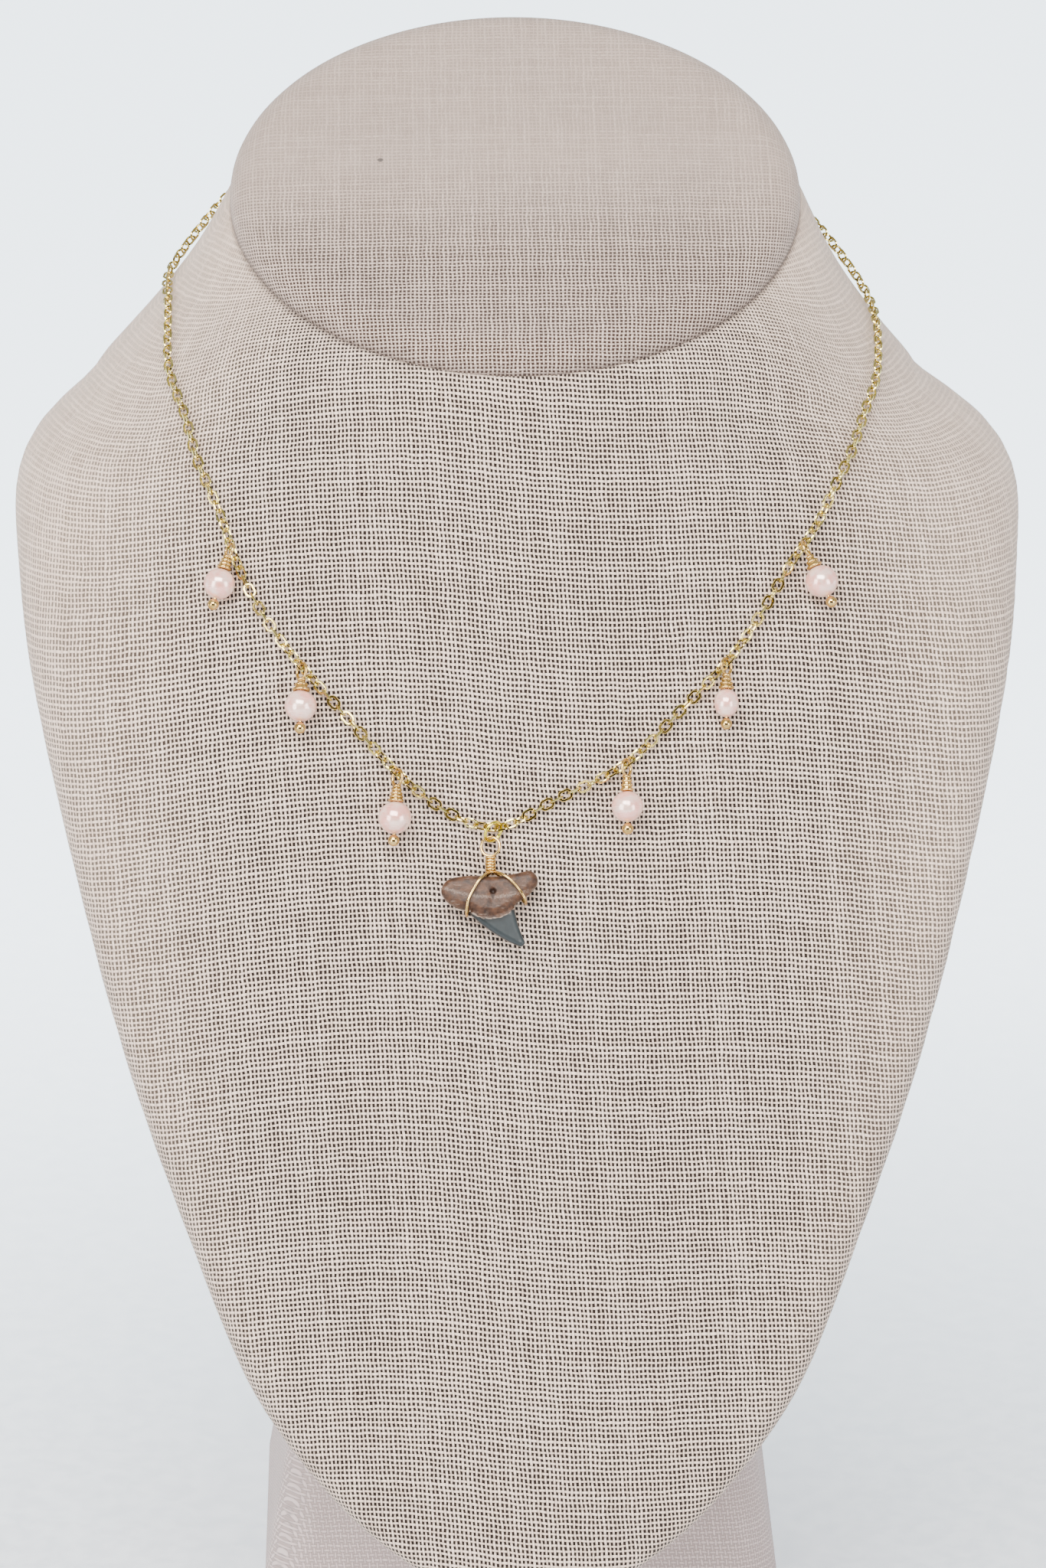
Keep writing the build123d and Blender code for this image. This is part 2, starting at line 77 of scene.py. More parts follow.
class Nodes:
    """Short ways to add and join the nodes of one tree."""

    def __init__(self, tree: bpy.types.NodeTree) -> None:
        """Keeps the tree."""
        self.tree = tree

    def add(self, kind: str, *values: object, **settings: object) -> bpy.types.Node:
        """Adds a node.

        Args:
            kind: The node's type name.
            values: What its inputs are fed, in their order.
            settings: Its properties.

        Returns:
            The node.
        """
        node = self.tree.nodes.new(kind)
        for name, value in settings.items():
            setattr(node, name, value)
        for socket, value in zip(node.inputs, values):
            self.feed(socket, value)
        return node

    def feed(self, socket: Socket, value: object) -> None:
        """Links a socket to an input, or sets the input's value.

        Args:
            socket: The input.
            value: An output socket or a plain value.
        """
        if isinstance(value, Socket):
            self.tree.links.new(value, socket)
        else:
            socket.default_value = value

    def math(self, operation: str, *values: object) -> Socket:
        """Result of a math node."""
        return self.add("ShaderNodeMath", *values, operation=operation).outputs[0]

    def times(self, *factors: object) -> Socket:
        """Product of two numbers or more."""
        return reduce(lambda first, other: self.math("MULTIPLY", first, other), factors)

    def rest(self, share: object) -> Socket:
        """What is left of 1 after a share."""
        return self.math("SUBTRACT", 1.0, share)

    def spread(self, value: object, width: float) -> Socket:
        """Spreads a number from 0 to 1 over a width, half on each side of 0."""
        return self.math("MULTIPLY_ADD", value, width, -width / 2)

    def vector(self, operation: str, *values: object) -> Socket:
        """Result of a vector math node, a number where that is a distance."""
        node = self.add("ShaderNodeVectorMath", *values, operation=operation)
        return node.outputs["Value" if operation == "DISTANCE" else "Vector"]

    def split(self, vector: object) -> bpy.types.NodeOutputs:
        """The three parts of a vector."""
        return self.add("ShaderNodeSeparateXYZ", vector).outputs

    def coordinates(self, kind: str) -> Socket:
        """Texture coordinates, such as UV."""
        return self.add("ShaderNodeTexCoord").outputs[kind]

    def object_mm(self) -> Socket:
        """Object coordinates in millimetres."""
        return self.vector("MULTIPLY", self.coordinates("Object"), (1 / MM, 1 / MM, 1 / MM))

    def share(self, name: str) -> Socket:
        """A share that is written at the piece's points."""
        return self.add("ShaderNodeAttribute", attribute_name=name).outputs["Fac"]

    def noise(self, vector: object, scale: float, detail: float = 2.0,
              roughness: float = 0.5) -> Socket:
        """Noise from 0 to 1, read at a vector."""
        return self.add("ShaderNodeTexNoise", vector, 0.0, scale, detail, roughness).outputs["Fac"]

    def band(self, value: object, low: float, high: float, to_low: float = 0.0,
             to_high: float = 1.0) -> Socket:
        """Maps the range from low to high smoothly to another."""
        return self.add("ShaderNodeMapRange", value, low, high, to_low, to_high,
                        interpolation_type="SMOOTHSTEP").outputs[0]

    def mix(self, share: object, first: object, second: object, blend: str = "MIX") -> Socket:
        """Mixes two colours.

        Args:
            share: Share of the second.
            first: The first colour.
            second: The second colour.
            blend: The blend's name.

        Returns:
            The mixed colour.
        """
        node = self.add("ShaderNodeMix", share, data_type="RGBA", blend_type=blend)
        for socket, colour in ((node.inputs[6], first), (node.inputs[7], second)):
            self.feed(socket, colour if isinstance(colour, Socket) else (*colour, 1.0))
        return node.outputs[2]

    def layered(self, base: object, *layers: tuple[object, object]) -> Socket:
        """Lays colours over a base in turn, each with its share before it."""
        return reduce(lambda under, layer: self.mix(layer[0], under, layer[1]), layers, base)

    def mix_numbers(self, share: object, first: object, second: object) -> Socket:
        """Mixes two numbers, by the share of the second."""
        return self.add("ShaderNodeMix", share, (0, 0, 0), first, second, data_type="FLOAT").outputs[0]

    def scaled(self, vector: object, scale: Triple) -> Socket:
        """Stretches a coordinate by a factor along each of its axes."""
        return self.add("ShaderNodeMapping", vector, (0, 0, 0), (0, 0, 0), scale).outputs[0]

    def bump(self, height: object, strength: float, depth: float) -> Socket:
        """Turns a height into a normal.

        Args:
            height: The height, 0 to 1.
            strength: How strong the bump is.
            depth: What a height of 1 stands for, in metres.

        Returns:
            The normal.
        """
        node = self.add("ShaderNodeBump")
        self.feed(node.inputs["Height"], height)
        node.inputs["Strength"].default_value = strength
        node.inputs["Distance"].default_value = depth
        return node.outputs[0]


class NodeGroup:
    """A shader node group that is built once and placed in several materials."""

    def __init__(self, name: str, numbers: tuple[str, ...], outputs: tuple[str, ...]) -> None:
        """Makes the empty group.

        Args:
            name: The group's name.
            numbers: Names of the number inputs, beside the Vector.
            outputs: Names of the number outputs.
        """
        self.tree = bpy.data.node_groups.new(name, "ShaderNodeTree")
        sides = [("Vector", "INPUT", "NodeSocketVector")]
        sides += [(label, "INPUT", "NodeSocketFloat") for label in numbers]
        sides += [(label, "OUTPUT", "NodeSocketFloat") for label in outputs]
        for label, side, kind in sides:
            self.tree.interface.new_socket(label, in_out=side, socket_type=kind)
        self.nodes = Nodes(self.tree)
        self.source = self.nodes.add("NodeGroupInput").outputs
        self.result = self.nodes.add("NodeGroupOutput").inputs

    def place(self, nodes: Nodes, **values: object) -> bpy.types.NodeOutputs:
        """Places the group in a material.

        Args:
            nodes: The material's nodes.
            values: Inputs by name, with underscores for spaces.

        Returns:
            The group's outputs.
        """
        node = nodes.add("ShaderNodeGroup", node_tree=self.tree)
        for label, value in values.items():
            nodes.feed(node.inputs[label.replace("_", " ")], value)
        return node.outputs


@dataclass(frozen=True)
class Weave:
    """Plain weave of uneven threads.

    Widths are shares of the threads' pitch, and the sway is in millimetres.
    """

    halves: Pair = (0.208, 0.196)
    seeds: Pair = (3.7, 91.3)
    sway: float = 0.5
    sway_scale: float = 0.35
    sway_shift: Triple = (37.0, 11.0, 0.0)
    own_width: float = 0.05
    slub_width: float = 0.20
    slub_stretch: float = 0.12
    crown: float = 0.6
    crown_slope: float = 5.0
    wave: float = 0.5
    floor: float = -0.6
    own_tone: float = 0.2
    slub_tone: float = 0.9

    def group(self) -> NodeGroup:
        """Builds the weave, read from coordinates in millimetres.

        Returns:
            The group, with the gaps between threads, their height and their tone.
        """
        group = NodeGroup("plain_weave", ("Warp Pitch", "Weft Pitch"), ("Gap", "Height", "Tone"))
        n, place = group.nodes, group.source["Vector"]
        swayed = (place, n.vector("ADD", place, self.sway_shift))
        threads = []
        for part, pitch, spot in zip(n.split(place), ("Warp Pitch", "Weft Pitch"), swayed):
            shifted = n.math("ADD", part, n.spread(n.noise(spot, self.sway_scale), self.sway))
            threads.append(n.math("DIVIDE", shifted, group.source[pitch]))
        profiles, heights, tones = zip(*(
            self.thread(n, place, *pair, half, seed, over)
            for pair, half, seed, over in zip((threads, threads[::-1]), self.halves, self.seeds,
                                              (1, -1))))
        top = n.math("MAXIMUM", n.math("MAXIMUM", *heights), self.floor)
        warp_on_top = n.math("GREATER_THAN", *heights)
        n.feed(group.result["Gap"], n.band(n.math("MAXIMUM", *profiles), 0.1, -0.3))
        n.feed(group.result["Height"], n.math("MULTIPLY_ADD", top, 0.6, 0.4))
        n.feed(group.result["Tone"], n.mix_numbers(warp_on_top, tones[1], tones[0]))
        return group

    def thread(self, n: Nodes, place: Socket, this: Socket, other: Socket, half: float,
               seed: float, over: int) -> tuple[Socket, Socket, Socket]:
        """Draws the threads of one direction.

        Args:
            n: The group's nodes.
            place: Where they are read.
            this: Distance across these threads, in pitches.
            other: Distance across the threads that they cross.
            half: Half a thread's width.
            seed: Start of the threads' own random numbers.
            over: 1 where the first thread starts above, -1 where below.

        Returns:
            Profile, height and tone.
        """
        number = n.math("FLOOR", this)
        own = n.add("ShaderNodeTexWhiteNoise", noise_dimensions="1D")
        n.feed(own.inputs["W"], n.math("ADD", number, seed))
        own = own.outputs["Value"]
        stretch = (1.0, self.slub_stretch, 1.0) if over > 0 else (self.slub_stretch, 1.0, 1.0)
        along = n.noise(n.scaled(place, stretch), 1.5, 3.0, 0.6)
        thick = n.math("ADD", n.spread(own, self.own_width), n.spread(along, self.slub_width))
        across = n.math("ABSOLUTE", n.math("SUBTRACT", n.math("FRACT", this), 0.5))
        from_middle = n.math("DIVIDE", across, n.math("ADD", half, thick))
        profile = n.rest(n.math("POWER", from_middle, 2.0))
        wave = n.times(n.math("COSINE", n.times(number, math.pi)),
                       n.math("SINE", n.times(other, math.pi)))
        crown = n.math("MINIMUM", n.times(profile, self.crown), n.times(profile, self.crown_slope))
        height = n.math("ADD", crown, n.times(wave, self.wave * over))
        tone = n.math("ADD", n.times(own, self.own_tone), n.times(along, self.slub_tone))
        return profile, height, tone


def wear_group() -> NodeGroup:
    """Faint handling marks of polished metal: cloudy patches and fine scratches.

    Returns:
        The group, with the patches, the roughness that they give and a fine height.
    """
    group = NodeGroup("polish_wear", ("Polish", "Worn"), ("Cloud", "Roughness", "Height"))
    n, source = group.nodes, group.source
    cloud = n.band(n.noise(source["Vector"], 0.8, 3.0, 0.6), 0.35, 0.7)
    n.feed(group.result["Cloud"], cloud)
    n.feed(group.result["Roughness"], n.math("MULTIPLY_ADD", cloud, source["Worn"], source["Polish"]))
    n.feed(group.result["Height"], n.noise(n.scaled(source["Vector"], (1.0, 5.0, 1.0)), 2.5, 4.0, 0.7))
    return group


def new_material(name: str, **constants: object) -> tuple[Material, Nodes, bpy.types.NodeInputs]:
    """Makes a material with one Principled shader.

    Args:
        name: The material's name.
        constants: The shader's plain values by name, with underscores for spaces.

    Returns:
        The material, its nodes and the shader's inputs.
    """
    material = bpy.data.materials.new(name)
    material.use_nodes = True
    shader = material.node_tree.nodes["Principled BSDF"].inputs
    for label, value in constants.items():
        shader[label.replace("_", " ")].default_value = value
    return material, Nodes(material.node_tree), shader


@dataclass(frozen=True)
class LinenFinish:
    """Woven linen: light threads over dark gaps, with painted shade in the threads' hollows, on slack
    parts and in the seam.

    The threads' pitches and the fleck's place are in millimetres.
    """

    name: str
    thread: Triple
    thread_dark: Triple
    gap: Triple
    warp_pitch: float = 0.60
    weft_pitch: float = 0.765
    depth: float = 0.14 * MM
    patch_tint: Triple = (0.965, 0.975, 0.985)
    slub_stretch: Triple = (0.10, 1.3, 1.0)
    slub_share: float = 0.25
    # Light left where the threads dip under, a painted shade.
    hollow_shade: float = 0.38
    fleck: Pair | None = None
    fleck_colour: Triple = (0.09, 0.07, 0.06)
    slack: float | None = None
    # Painted shade on the slack parts: the cover's sides and back and the cap's top and back.
    slack_shade: float = 0.775

    def material(self, weave: NodeGroup, coordinates: str = "UV") -> Material:
        """Makes the linen.

        Args:
            weave: The weave's group.
            coordinates: UV for a piece with its own map in millimetres, or Object.

        Returns:
            The material.
        """
        material, n, shader = new_material(self.name, Roughness=0.92, Specular_IOR_Level=0.2,
                                           Sheen_Weight=0.15, Sheen_Roughness=0.6)
        if coordinates == "Object":
            x, y, z = n.split(n.object_mm())
            where = n.add("ShaderNodeCombineXYZ", n.math("ADD", x, y), z).outputs[0]
        else:
            where = n.coordinates(coordinates)
        cloth = weave.place(n, Vector=where, Warp_Pitch=self.warp_pitch, Weft_Pitch=self.weft_pitch)
        # Painted shade: the threads darken towards their edges and where they dip under the crossing
        # threads.
        gap, hollow_shade = cloth["Gap"], n.band(cloth["Height"], 0.25, 0.9, self.hollow_shade, 1.0)
        if self.slack is not None:
            taut = n.share("taut")
            drawn = n.math("MULTIPLY_ADD", taut, 1 - self.slack, self.slack)
            gap = n.times(gap, drawn)
            hollow_shade = n.rest(n.times(drawn, n.rest(hollow_shade)))
            # Painted shade: the slack parts are darkened by slack_shade, as if turned from the light.
            tone = n.math("MULTIPLY_ADD", taut, 1 - self.slack_shade, self.slack_shade)
            hollow_shade = n.times(hollow_shade, tone)
        threads = self.threads(n, where, cloth["Tone"])
        colour = n.mix(gap, n.mix(1.0, threads, hollow_shade, "MULTIPLY"), self.gap)
        if self.slack is not None:
            # Painted shade: a dark line in the groove of the seam between the cover and the cap.
            colour = n.mix(n.share("seam"), colour, self.gap)
        if self.fleck:
            away = n.vector("DISTANCE", where, (*self.fleck, 0.0))
            colour = n.mix(n.band(away, 0.55, 0.3), colour, self.fleck_colour)
        n.feed(shader["Base Color"], colour)
        n.feed(shader["Normal"], n.bump(cloth["Height"], 0.8, self.depth))
        return material

    def threads(self, n: Nodes, where: Socket, tone: Socket) -> Socket:
        """Colours the threads, with faint patches and pale slubs.

        Args:
            n: The material's nodes.
            where: The threads' map.
            tone: The weave's tone.

        Returns:
            The threads' colour, without gaps and the painted shade of the hollows.
        """
        plain = n.mix(n.band(tone, 0.25, 0.85), self.thread_dark, self.thread)
        patches = n.band(n.noise(where, 0.06, 3.0), 0.3, 0.7)
        tinted = n.mix(patches, plain, n.mix(1.0, plain, self.patch_tint, "MULTIPLY"))
        slubs = n.band(n.noise(n.scaled(where, self.slub_stretch), 1.0), 0.66, 0.76)
        return n.mix(n.times(slubs, self.slub_share), tinted, self.thread)


@dataclass(frozen=True)
class GoldFinish:
    """Polished gold plate with faint wear."""

    name: str
    bright: Triple
    deep: Triple
    roughness: float
    worn: float
    scratch: float = 0.03 * MM

    def material(self, wear: NodeGroup) -> Material:
        """Makes the gold.

        Args:
            wear: The wear's group.

        Returns:
            The material.
        """
        material, n, shader = new_material(self.name, Metallic=1.0)
        marks = wear.place(n, Vector=n.object_mm(), Polish=self.roughness, Worn=self.worn)
        n.feed(shader["Base Color"], n.mix(marks["Cloud"], self.bright, self.deep))
        n.feed(shader["Roughness"], marks["Roughness"])
        n.feed(shader["Normal"], n.bump(marks["Height"], 0.12, self.scratch))
        return material


@dataclass(frozen=True)
class PearlFinish:
    """Pale pink nacre with fine rings and a soft lustre."""

    name: str = "pink_nacre"
    blush: Triple = (0.98, 0.42, 0.34)
    cream: Triple = (0.98, 0.66, 0.56)
    sheen: tuple[float, ...] = (1.0, 0.82, 0.80, 1.0)
    depth: Triple = (1.2 * MM, 0.7 * MM, 0.6 * MM)
    ring_stretch: Triple = (3.0, 46.0, 1.0)
    relief: float = 0.06 * MM

    def material(self) -> Material:
        """Makes the nacre, its rings read from each pearl's own map.

        Returns:
            The material.
        """
        material, n, shader = new_material(
            self.name, Subsurface_Weight=0.25, Subsurface_Radius=self.depth, Subsurface_Scale=1.0,
            Specular_IOR_Level=0.8, Coat_Weight=1.0, Coat_IOR=2.1, Coat_Roughness=0.16,
            Metallic=0.2, Sheen_Weight=0.10, Sheen_Tint=self.sheen)
        place = n.object_mm()
        blotch = n.band(n.noise(place, 0.55, 3.0, 0.6), 0.35, 0.65)
        rings = n.noise(n.scaled(n.coordinates("UV"), self.ring_stretch), 1.0, 5.0, 0.7)
        waves = n.noise(place, 1.4, 4.0, 0.6)
        n.feed(shader["Base Color"], n.mix(blotch, self.blush, self.cream))
        n.feed(shader["Roughness"], n.band(rings, 0.3, 0.7, 0.12, 0.30))
        height = n.math("ADD", n.times(rings, 0.35), n.times(waves, 0.65))
        n.feed(shader["Normal"], n.bump(height, 0.35, self.relief))
        return material


@dataclass(frozen=True)
class ToothFinish:
    """Fossil tooth: mottled brown root, pale collar line and slate crown.

    Its places are millimetres across and up the tooth.
    """

    name: str = "fossil_enamel"
    root: Triple = (0.084, 0.036, 0.017)
    root_dark: Triple = (0.018, 0.008, 0.005)
    root_pale: Triple = (0.19, 0.135, 0.105)
    rust: Triple = (0.105, 0.045, 0.020)
    collar: Triple = (0.30, 0.225, 0.175)
    crown: Triple = (0.022, 0.027, 0.029)
    crown_light: float = 1.25
    crown_dark: Triple = (0.005, 0.006, 0.006)
    collar_centre: Pair = (-0.10, 0.90)
    collar_radius: float = 4.62
    collar_ends: Pair = (-3.35, 3.85)
    scratch_width: float = 7.0
    scratch_sag: float = 1.5
    scratch_middle: float = -0.75
    pit: Pair = (0.25, -0.15)
    relief: float = 0.12 * MM

    def material(self) -> Material:
        """Makes the tooth's finish, read from its own map.

        Returns:
            The material.
        """
        material, n, shader = new_material(self.name, Specular_IOR_Level=0.3)
        flat = n.coordinates("UV")
        below, lower, crown = self.regions(n, flat)
        streak = n.band(n.noise(n.scaled(flat, (0.45, 1.7, 1.0)), 1.1, 5.0, 0.62), 0.55, 0.68)
        grains = n.band(n.noise(flat, 3.2, 4.0, 0.7), 0.56, 0.74)
        rim = n.times(n.band(n.math("ABSOLUTE", below), 0.13, 0.02), lower)
        broken = n.band(n.noise(flat, 1.6, 3.0), 0.30, 0.55)
        scratched = n.times(self.scratches(n, flat), n.rest(crown), 0.8)
        n.feed(shader["Base Color"], n.layered(
            self.brown(n, flat, streak, grains), (crown, self.slate(n, flat, below)),
            (n.times(rim, broken, 0.8), self.collar), (scratched, self.root_pale),
            (n.times(self.pit_share(n, flat), 0.9), self.root_dark)))
        root_rough = n.math("MULTIPLY_ADD", grains, 0.15, 0.42)
        n.feed(shader["Roughness"], n.mix_numbers(crown, root_rough, 0.32))
        worn = n.math("ADD", n.times(n.noise(flat, 3.0, 5.0, 0.7), 0.6), n.times(streak, 0.3))
        calm = n.times(worn, n.rest(n.times(crown, 0.85)))
        n.feed(shader["Normal"], n.bump(calm, 0.6, self.relief))
        return material

    def regions(self, n: Nodes, flat: Socket) -> tuple[Socket, Socket, Socket]:
        """Finds the crown under its curved collar.

        Args:
            n: The material's nodes.
            flat: The tooth's map.

        Returns:
            Distance below the collar, the part that a collar can cross, and the crown's share.
        """
        wobble = n.spread(n.noise(flat, 1.1, 3.0), 0.5)
        reach = n.vector("DISTANCE", flat, (*self.collar_centre, 0.0))
        below = n.math("SUBTRACT", n.math("ADD", reach, wobble), self.collar_radius)
        across, up = n.split(flat)[:2]
        left, right = self.collar_ends
        inside = n.times(n.band(across, left, left + 0.3), n.band(across, right, right - 0.3))
        beyond = n.band(up, -3.2, -3.7)
        lower = n.times(n.band(up, -0.9, -1.5), n.math("MAXIMUM", inside, beyond))
        return below, lower, n.times(n.band(below, -0.05, 0.05), lower)

    def brown(self, n: Nodes, flat: Socket, streak: Socket, grains: Socket) -> Socket:
        """Colours the root: mottled, with rusty clouds, pale streaks and grains.

        Args:
            n: The material's nodes.
            flat: The tooth's map.
            streak: Share of the streaks.
            grains: Share of the grains.

        Returns:
            The root's colour.
        """
        mottle = n.band(n.noise(flat, 0.75, 5.0, 0.65), 0.32, 0.66)
        rusty = n.band(n.noise(n.scaled(flat, (0.35, 1.0, 1.0)), 0.8, 3.0), 0.50, 0.70)
        return n.layered(self.root_dark, (mottle, self.root), (n.times(rusty, 0.7), self.rust),
                         (n.times(streak, 0.55), self.root_pale),
                         (n.times(grains, 0.45), self.root_pale))

    def slate(self, n: Nodes, flat: Socket, below: Socket) -> Socket:
        """Colours the crown, darker beside the collar.

        Args:
            n: The material's nodes.
            flat: The tooth's map.
            below: Distance below the collar.

        Returns:
            The crown's colour.
        """
        tone = n.band(n.noise(n.scaled(flat, (1.0, 0.5, 1.0)), 0.8, 3.0), 0.3, 0.75)
        lighter = tuple(self.crown_light * part for part in self.crown)
        shaded = n.times(n.band(below, 0.9, 0.0), 0.65)
        return n.layered(self.crown, (tone, lighter), (shaded, self.crown_dark))

    def scratches(self, n: Nodes, flat: Socket) -> Socket:
        """Draws the pale scratched line that sags across the root.

        Args:
            n: The material's nodes.
            flat: The tooth's map.

        Returns:
            The line's share.
        """
        across, up = n.split(flat)[:2]
        square = n.math("POWER", n.math("DIVIDE", across, self.scratch_width), 2.0)
        line = n.math("MULTIPLY_ADD", square, self.scratch_sag, self.scratch_middle)
        fray = n.spread(n.noise(flat, 2.2, 4.0, 0.7), 0.9)
        off = n.math("ABSOLUTE", n.math("ADD", n.math("SUBTRACT", up, line), fray))
        return n.times(n.band(off, 0.34, 0.05), n.band(n.noise(flat, 4.0, 4.0, 0.7), 0.35, 0.6))

    def pit_share(self, n: Nodes, flat: Socket) -> Socket:
        """Draws the root's three-cornered pit.

        Args:
            n: The material's nodes.
            flat: The tooth's map.

        Returns:
            The pit's share.
        """
        across, up = n.split(n.vector("SUBTRACT", flat, (*self.pit, 0.0)))[:2]
        wedge = n.math("ADD", n.times(n.math("ABSOLUTE", across), 1.5), n.times(up, -0.55))
        return n.band(n.math("MAXIMUM", wedge, n.math("SUBTRACT", up, -0.1)), 0.80, 0.45)


def deselect() -> None:
    """Deselects every object."""
    bpy.ops.object.select_all(action="DESELECT")


def activate(piece: Object) -> None:
    """Selects one object alone and makes it active."""
    deselect()
    piece.select_set(True)
    bpy.context.view_layer.objects.active = piece


def linked(name: str, data: bpy.types.ID) -> Object:
    """Makes an object of a mesh, camera or lamp and puts it in the scene.

    Args:
        name: The object's name.
        data: What it shows.

    Returns:
        The object.
    """
    made = bpy.data.objects.new(name, data)
    bpy.context.scene.collection.objects.link(made)
    return made


def apply_modifier(piece: Object, kind: str, **settings: object) -> None:
    """Adds a modifier and applies it.

    Args:
        piece: The mesh object.
        kind: The modifier's type.
        settings: Its properties.
    """
    modifier = piece.modifiers.new(kind.lower(), kind)
    for name, value in settings.items():
        setattr(modifier, name, value)
    activate(piece)
    bpy.ops.object.modifier_apply(modifier=modifier.name)


def merged_copy(node: str, name: str) -> Object:
    """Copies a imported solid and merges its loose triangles.

    Args:
        node: The solid's node.
        name: The copy's name.

    Returns:
        The copy, riding on nothing.
    """
    copy = linked(name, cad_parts[node].data.copy())
    activate(copy)
    bpy.ops.object.mode_set(mode="EDIT")
    bpy.ops.mesh.select_all(action="SELECT")
    bpy.ops.mesh.remove_doubles(threshold=1e-6)
    bpy.ops.object.mode_set(mode="OBJECT")
    return copy


def node_points(node: str) -> np.ndarray:
    """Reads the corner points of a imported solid.

    Args:
        node: The solid's node.

    Returns:
        The points, a row each.
    """
    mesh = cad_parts[node].data
    points = np.empty(len(mesh.vertices) * 3, np.float32)
    mesh.vertices.foreach_get("co", points)
    return points.reshape(-1, 3).astype(float)


def middle(node: str) -> Vector:
    """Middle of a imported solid's box."""
    low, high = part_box(node)
    return (low + high) / 2


def principal_axes(points: np.ndarray) -> tuple[np.ndarray, np.ndarray]:
    """Centre and main directions of a cloud of points.

    Args:
        points: The cloud, a row each.

    Returns:
        The centre of its box along those directions, and the directions, longest first.
    """
    mean = points.mean(0)
    axes = np.linalg.svd(points - mean, full_matrices=False)[2]
    local = (points - mean) @ axes.T
    return mean + (local.max(0) + local.min(0)) / 2 @ axes, axes


def extrude_rings(name: str, rings: list[Pair], sides: int) -> Object:
    """Turns a profile by extruding a circle ring by ring, and closes both ends.

    Args:
        name: The object's name.
        rings: Radius and height of each ring, from the bottom up.
        sides: Points round each ring.

    Returns:
        The closed shape, round Z.
    """
    deselect()
    bpy.ops.mesh.primitive_circle_add(vertices=sides, radius=rings[0][0], location=(0, 0, 0))
    piece = bpy.context.object
    piece.name = name
    bpy.ops.object.mode_set(mode="EDIT")
    bpy.ops.transform.translate(value=(0, 0, rings[0][1]))
    for (radius, height), (next_radius, next_height) in zip(rings, rings[1:]):
        bpy.ops.mesh.extrude_region_move(
            TRANSFORM_OT_translate={"value": (0, 0, next_height - height)})
        grow = next_radius / radius
        bpy.ops.transform.resize(value=(grow, grow, 1), center_override=(0, 0, next_height))
    close_ring()
    bpy.ops.mesh.select_all(action="DESELECT")
    bpy.ops.mesh.select_non_manifold(extend=False, use_wire=False, use_multi_face=False,
                                     use_non_contiguous=False, use_verts=False)
    close_ring()
    bpy.ops.mesh.select_all(action="SELECT")
    bpy.ops.mesh.normals_make_consistent(inside=False)
    bpy.ops.object.mode_set(mode="OBJECT")
    return piece


def close_ring() -> None:
    """Draws the selected open ring in to one point."""
    bpy.ops.mesh.extrude_region_move(TRANSFORM_OT_translate={"value": (0, 0, 0)})
    bpy.ops.mesh.merge(type="CENTER")


def dress(piece: Object, material: Material) -> None:
    """Gives a piece one material."""
    piece.data.materials.clear()
    piece.data.materials.append(material)


def finish_piece(piece: Object, slot: Slot, material: Material, *replaced: str) -> None:
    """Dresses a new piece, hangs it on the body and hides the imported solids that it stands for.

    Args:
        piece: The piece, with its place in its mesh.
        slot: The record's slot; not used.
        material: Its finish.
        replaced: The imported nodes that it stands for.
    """
    dress(piece, material)
    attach(piece, BODY)
    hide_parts(*replaced)
    LOG.info("%s: %d faces, for %s", piece.name, len(piece.data.polygons), ", ".join(replaced))


def own_map(piece: Object, name: str) -> bpy.types.MeshUVLoopLayer:
    """Gives a piece one fresh map in place of those that it has.

    Args:
        piece: The piece.
        name: The map's name.

    Returns:
        The map.
    """
    layers = piece.data.uv_layers
    while layers:
        layers.remove(layers[0])
    return layers.new(name=name)


def map_points(piece: Object, name: str, corners: list[Pair] | np.ndarray) -> None:
    """Gives a piece one fresh map, with a place in it for each point.

    Args:
        piece: The piece.
        name: The map's name.
        corners: The points' places in the map.
    """
    layer = own_map(piece, name)
    for loop in piece.data.loops:
        layer.data[loop.index].uv = corners[loop.vertex_index]


def write_shares(piece: Object, name: str, shares: list[float]) -> None:
    """Writes a share from 0 to 1 at each point, for the finish to read.

    Args:
        piece: The covered piece.
        name: taut for how far the cloth is drawn open, which also sets the painted shade of the slack
            parts, or seam for how deep in a seam it is, which sets the seam line's painted shade.
        shares: A share for each of its points.
    """
    layer = piece.data.attributes.new(name, "FLOAT", "POINT")
    layer.data.foreach_set("value", shares)


def clamped(value: float, low: float = 0, high: float = 1) -> float:
    """Keeps a number in a range."""
    return min(max(value, low), high)


def eased(value: float, low: float, high: float) -> float:
    """Smooth share of the way from one value to another."""
    share = clamped((value - low) / (high - low))
    return share * share * (3 - 2 * share)


def smooth(piece: Object, angle: float = 180.0) -> None:
    """Shades a piece smooth up to an angle in degrees between faces."""
    activate(piece)
    bpy.ops.object.shade_smooth_by_angle(angle=math.radians(angle))


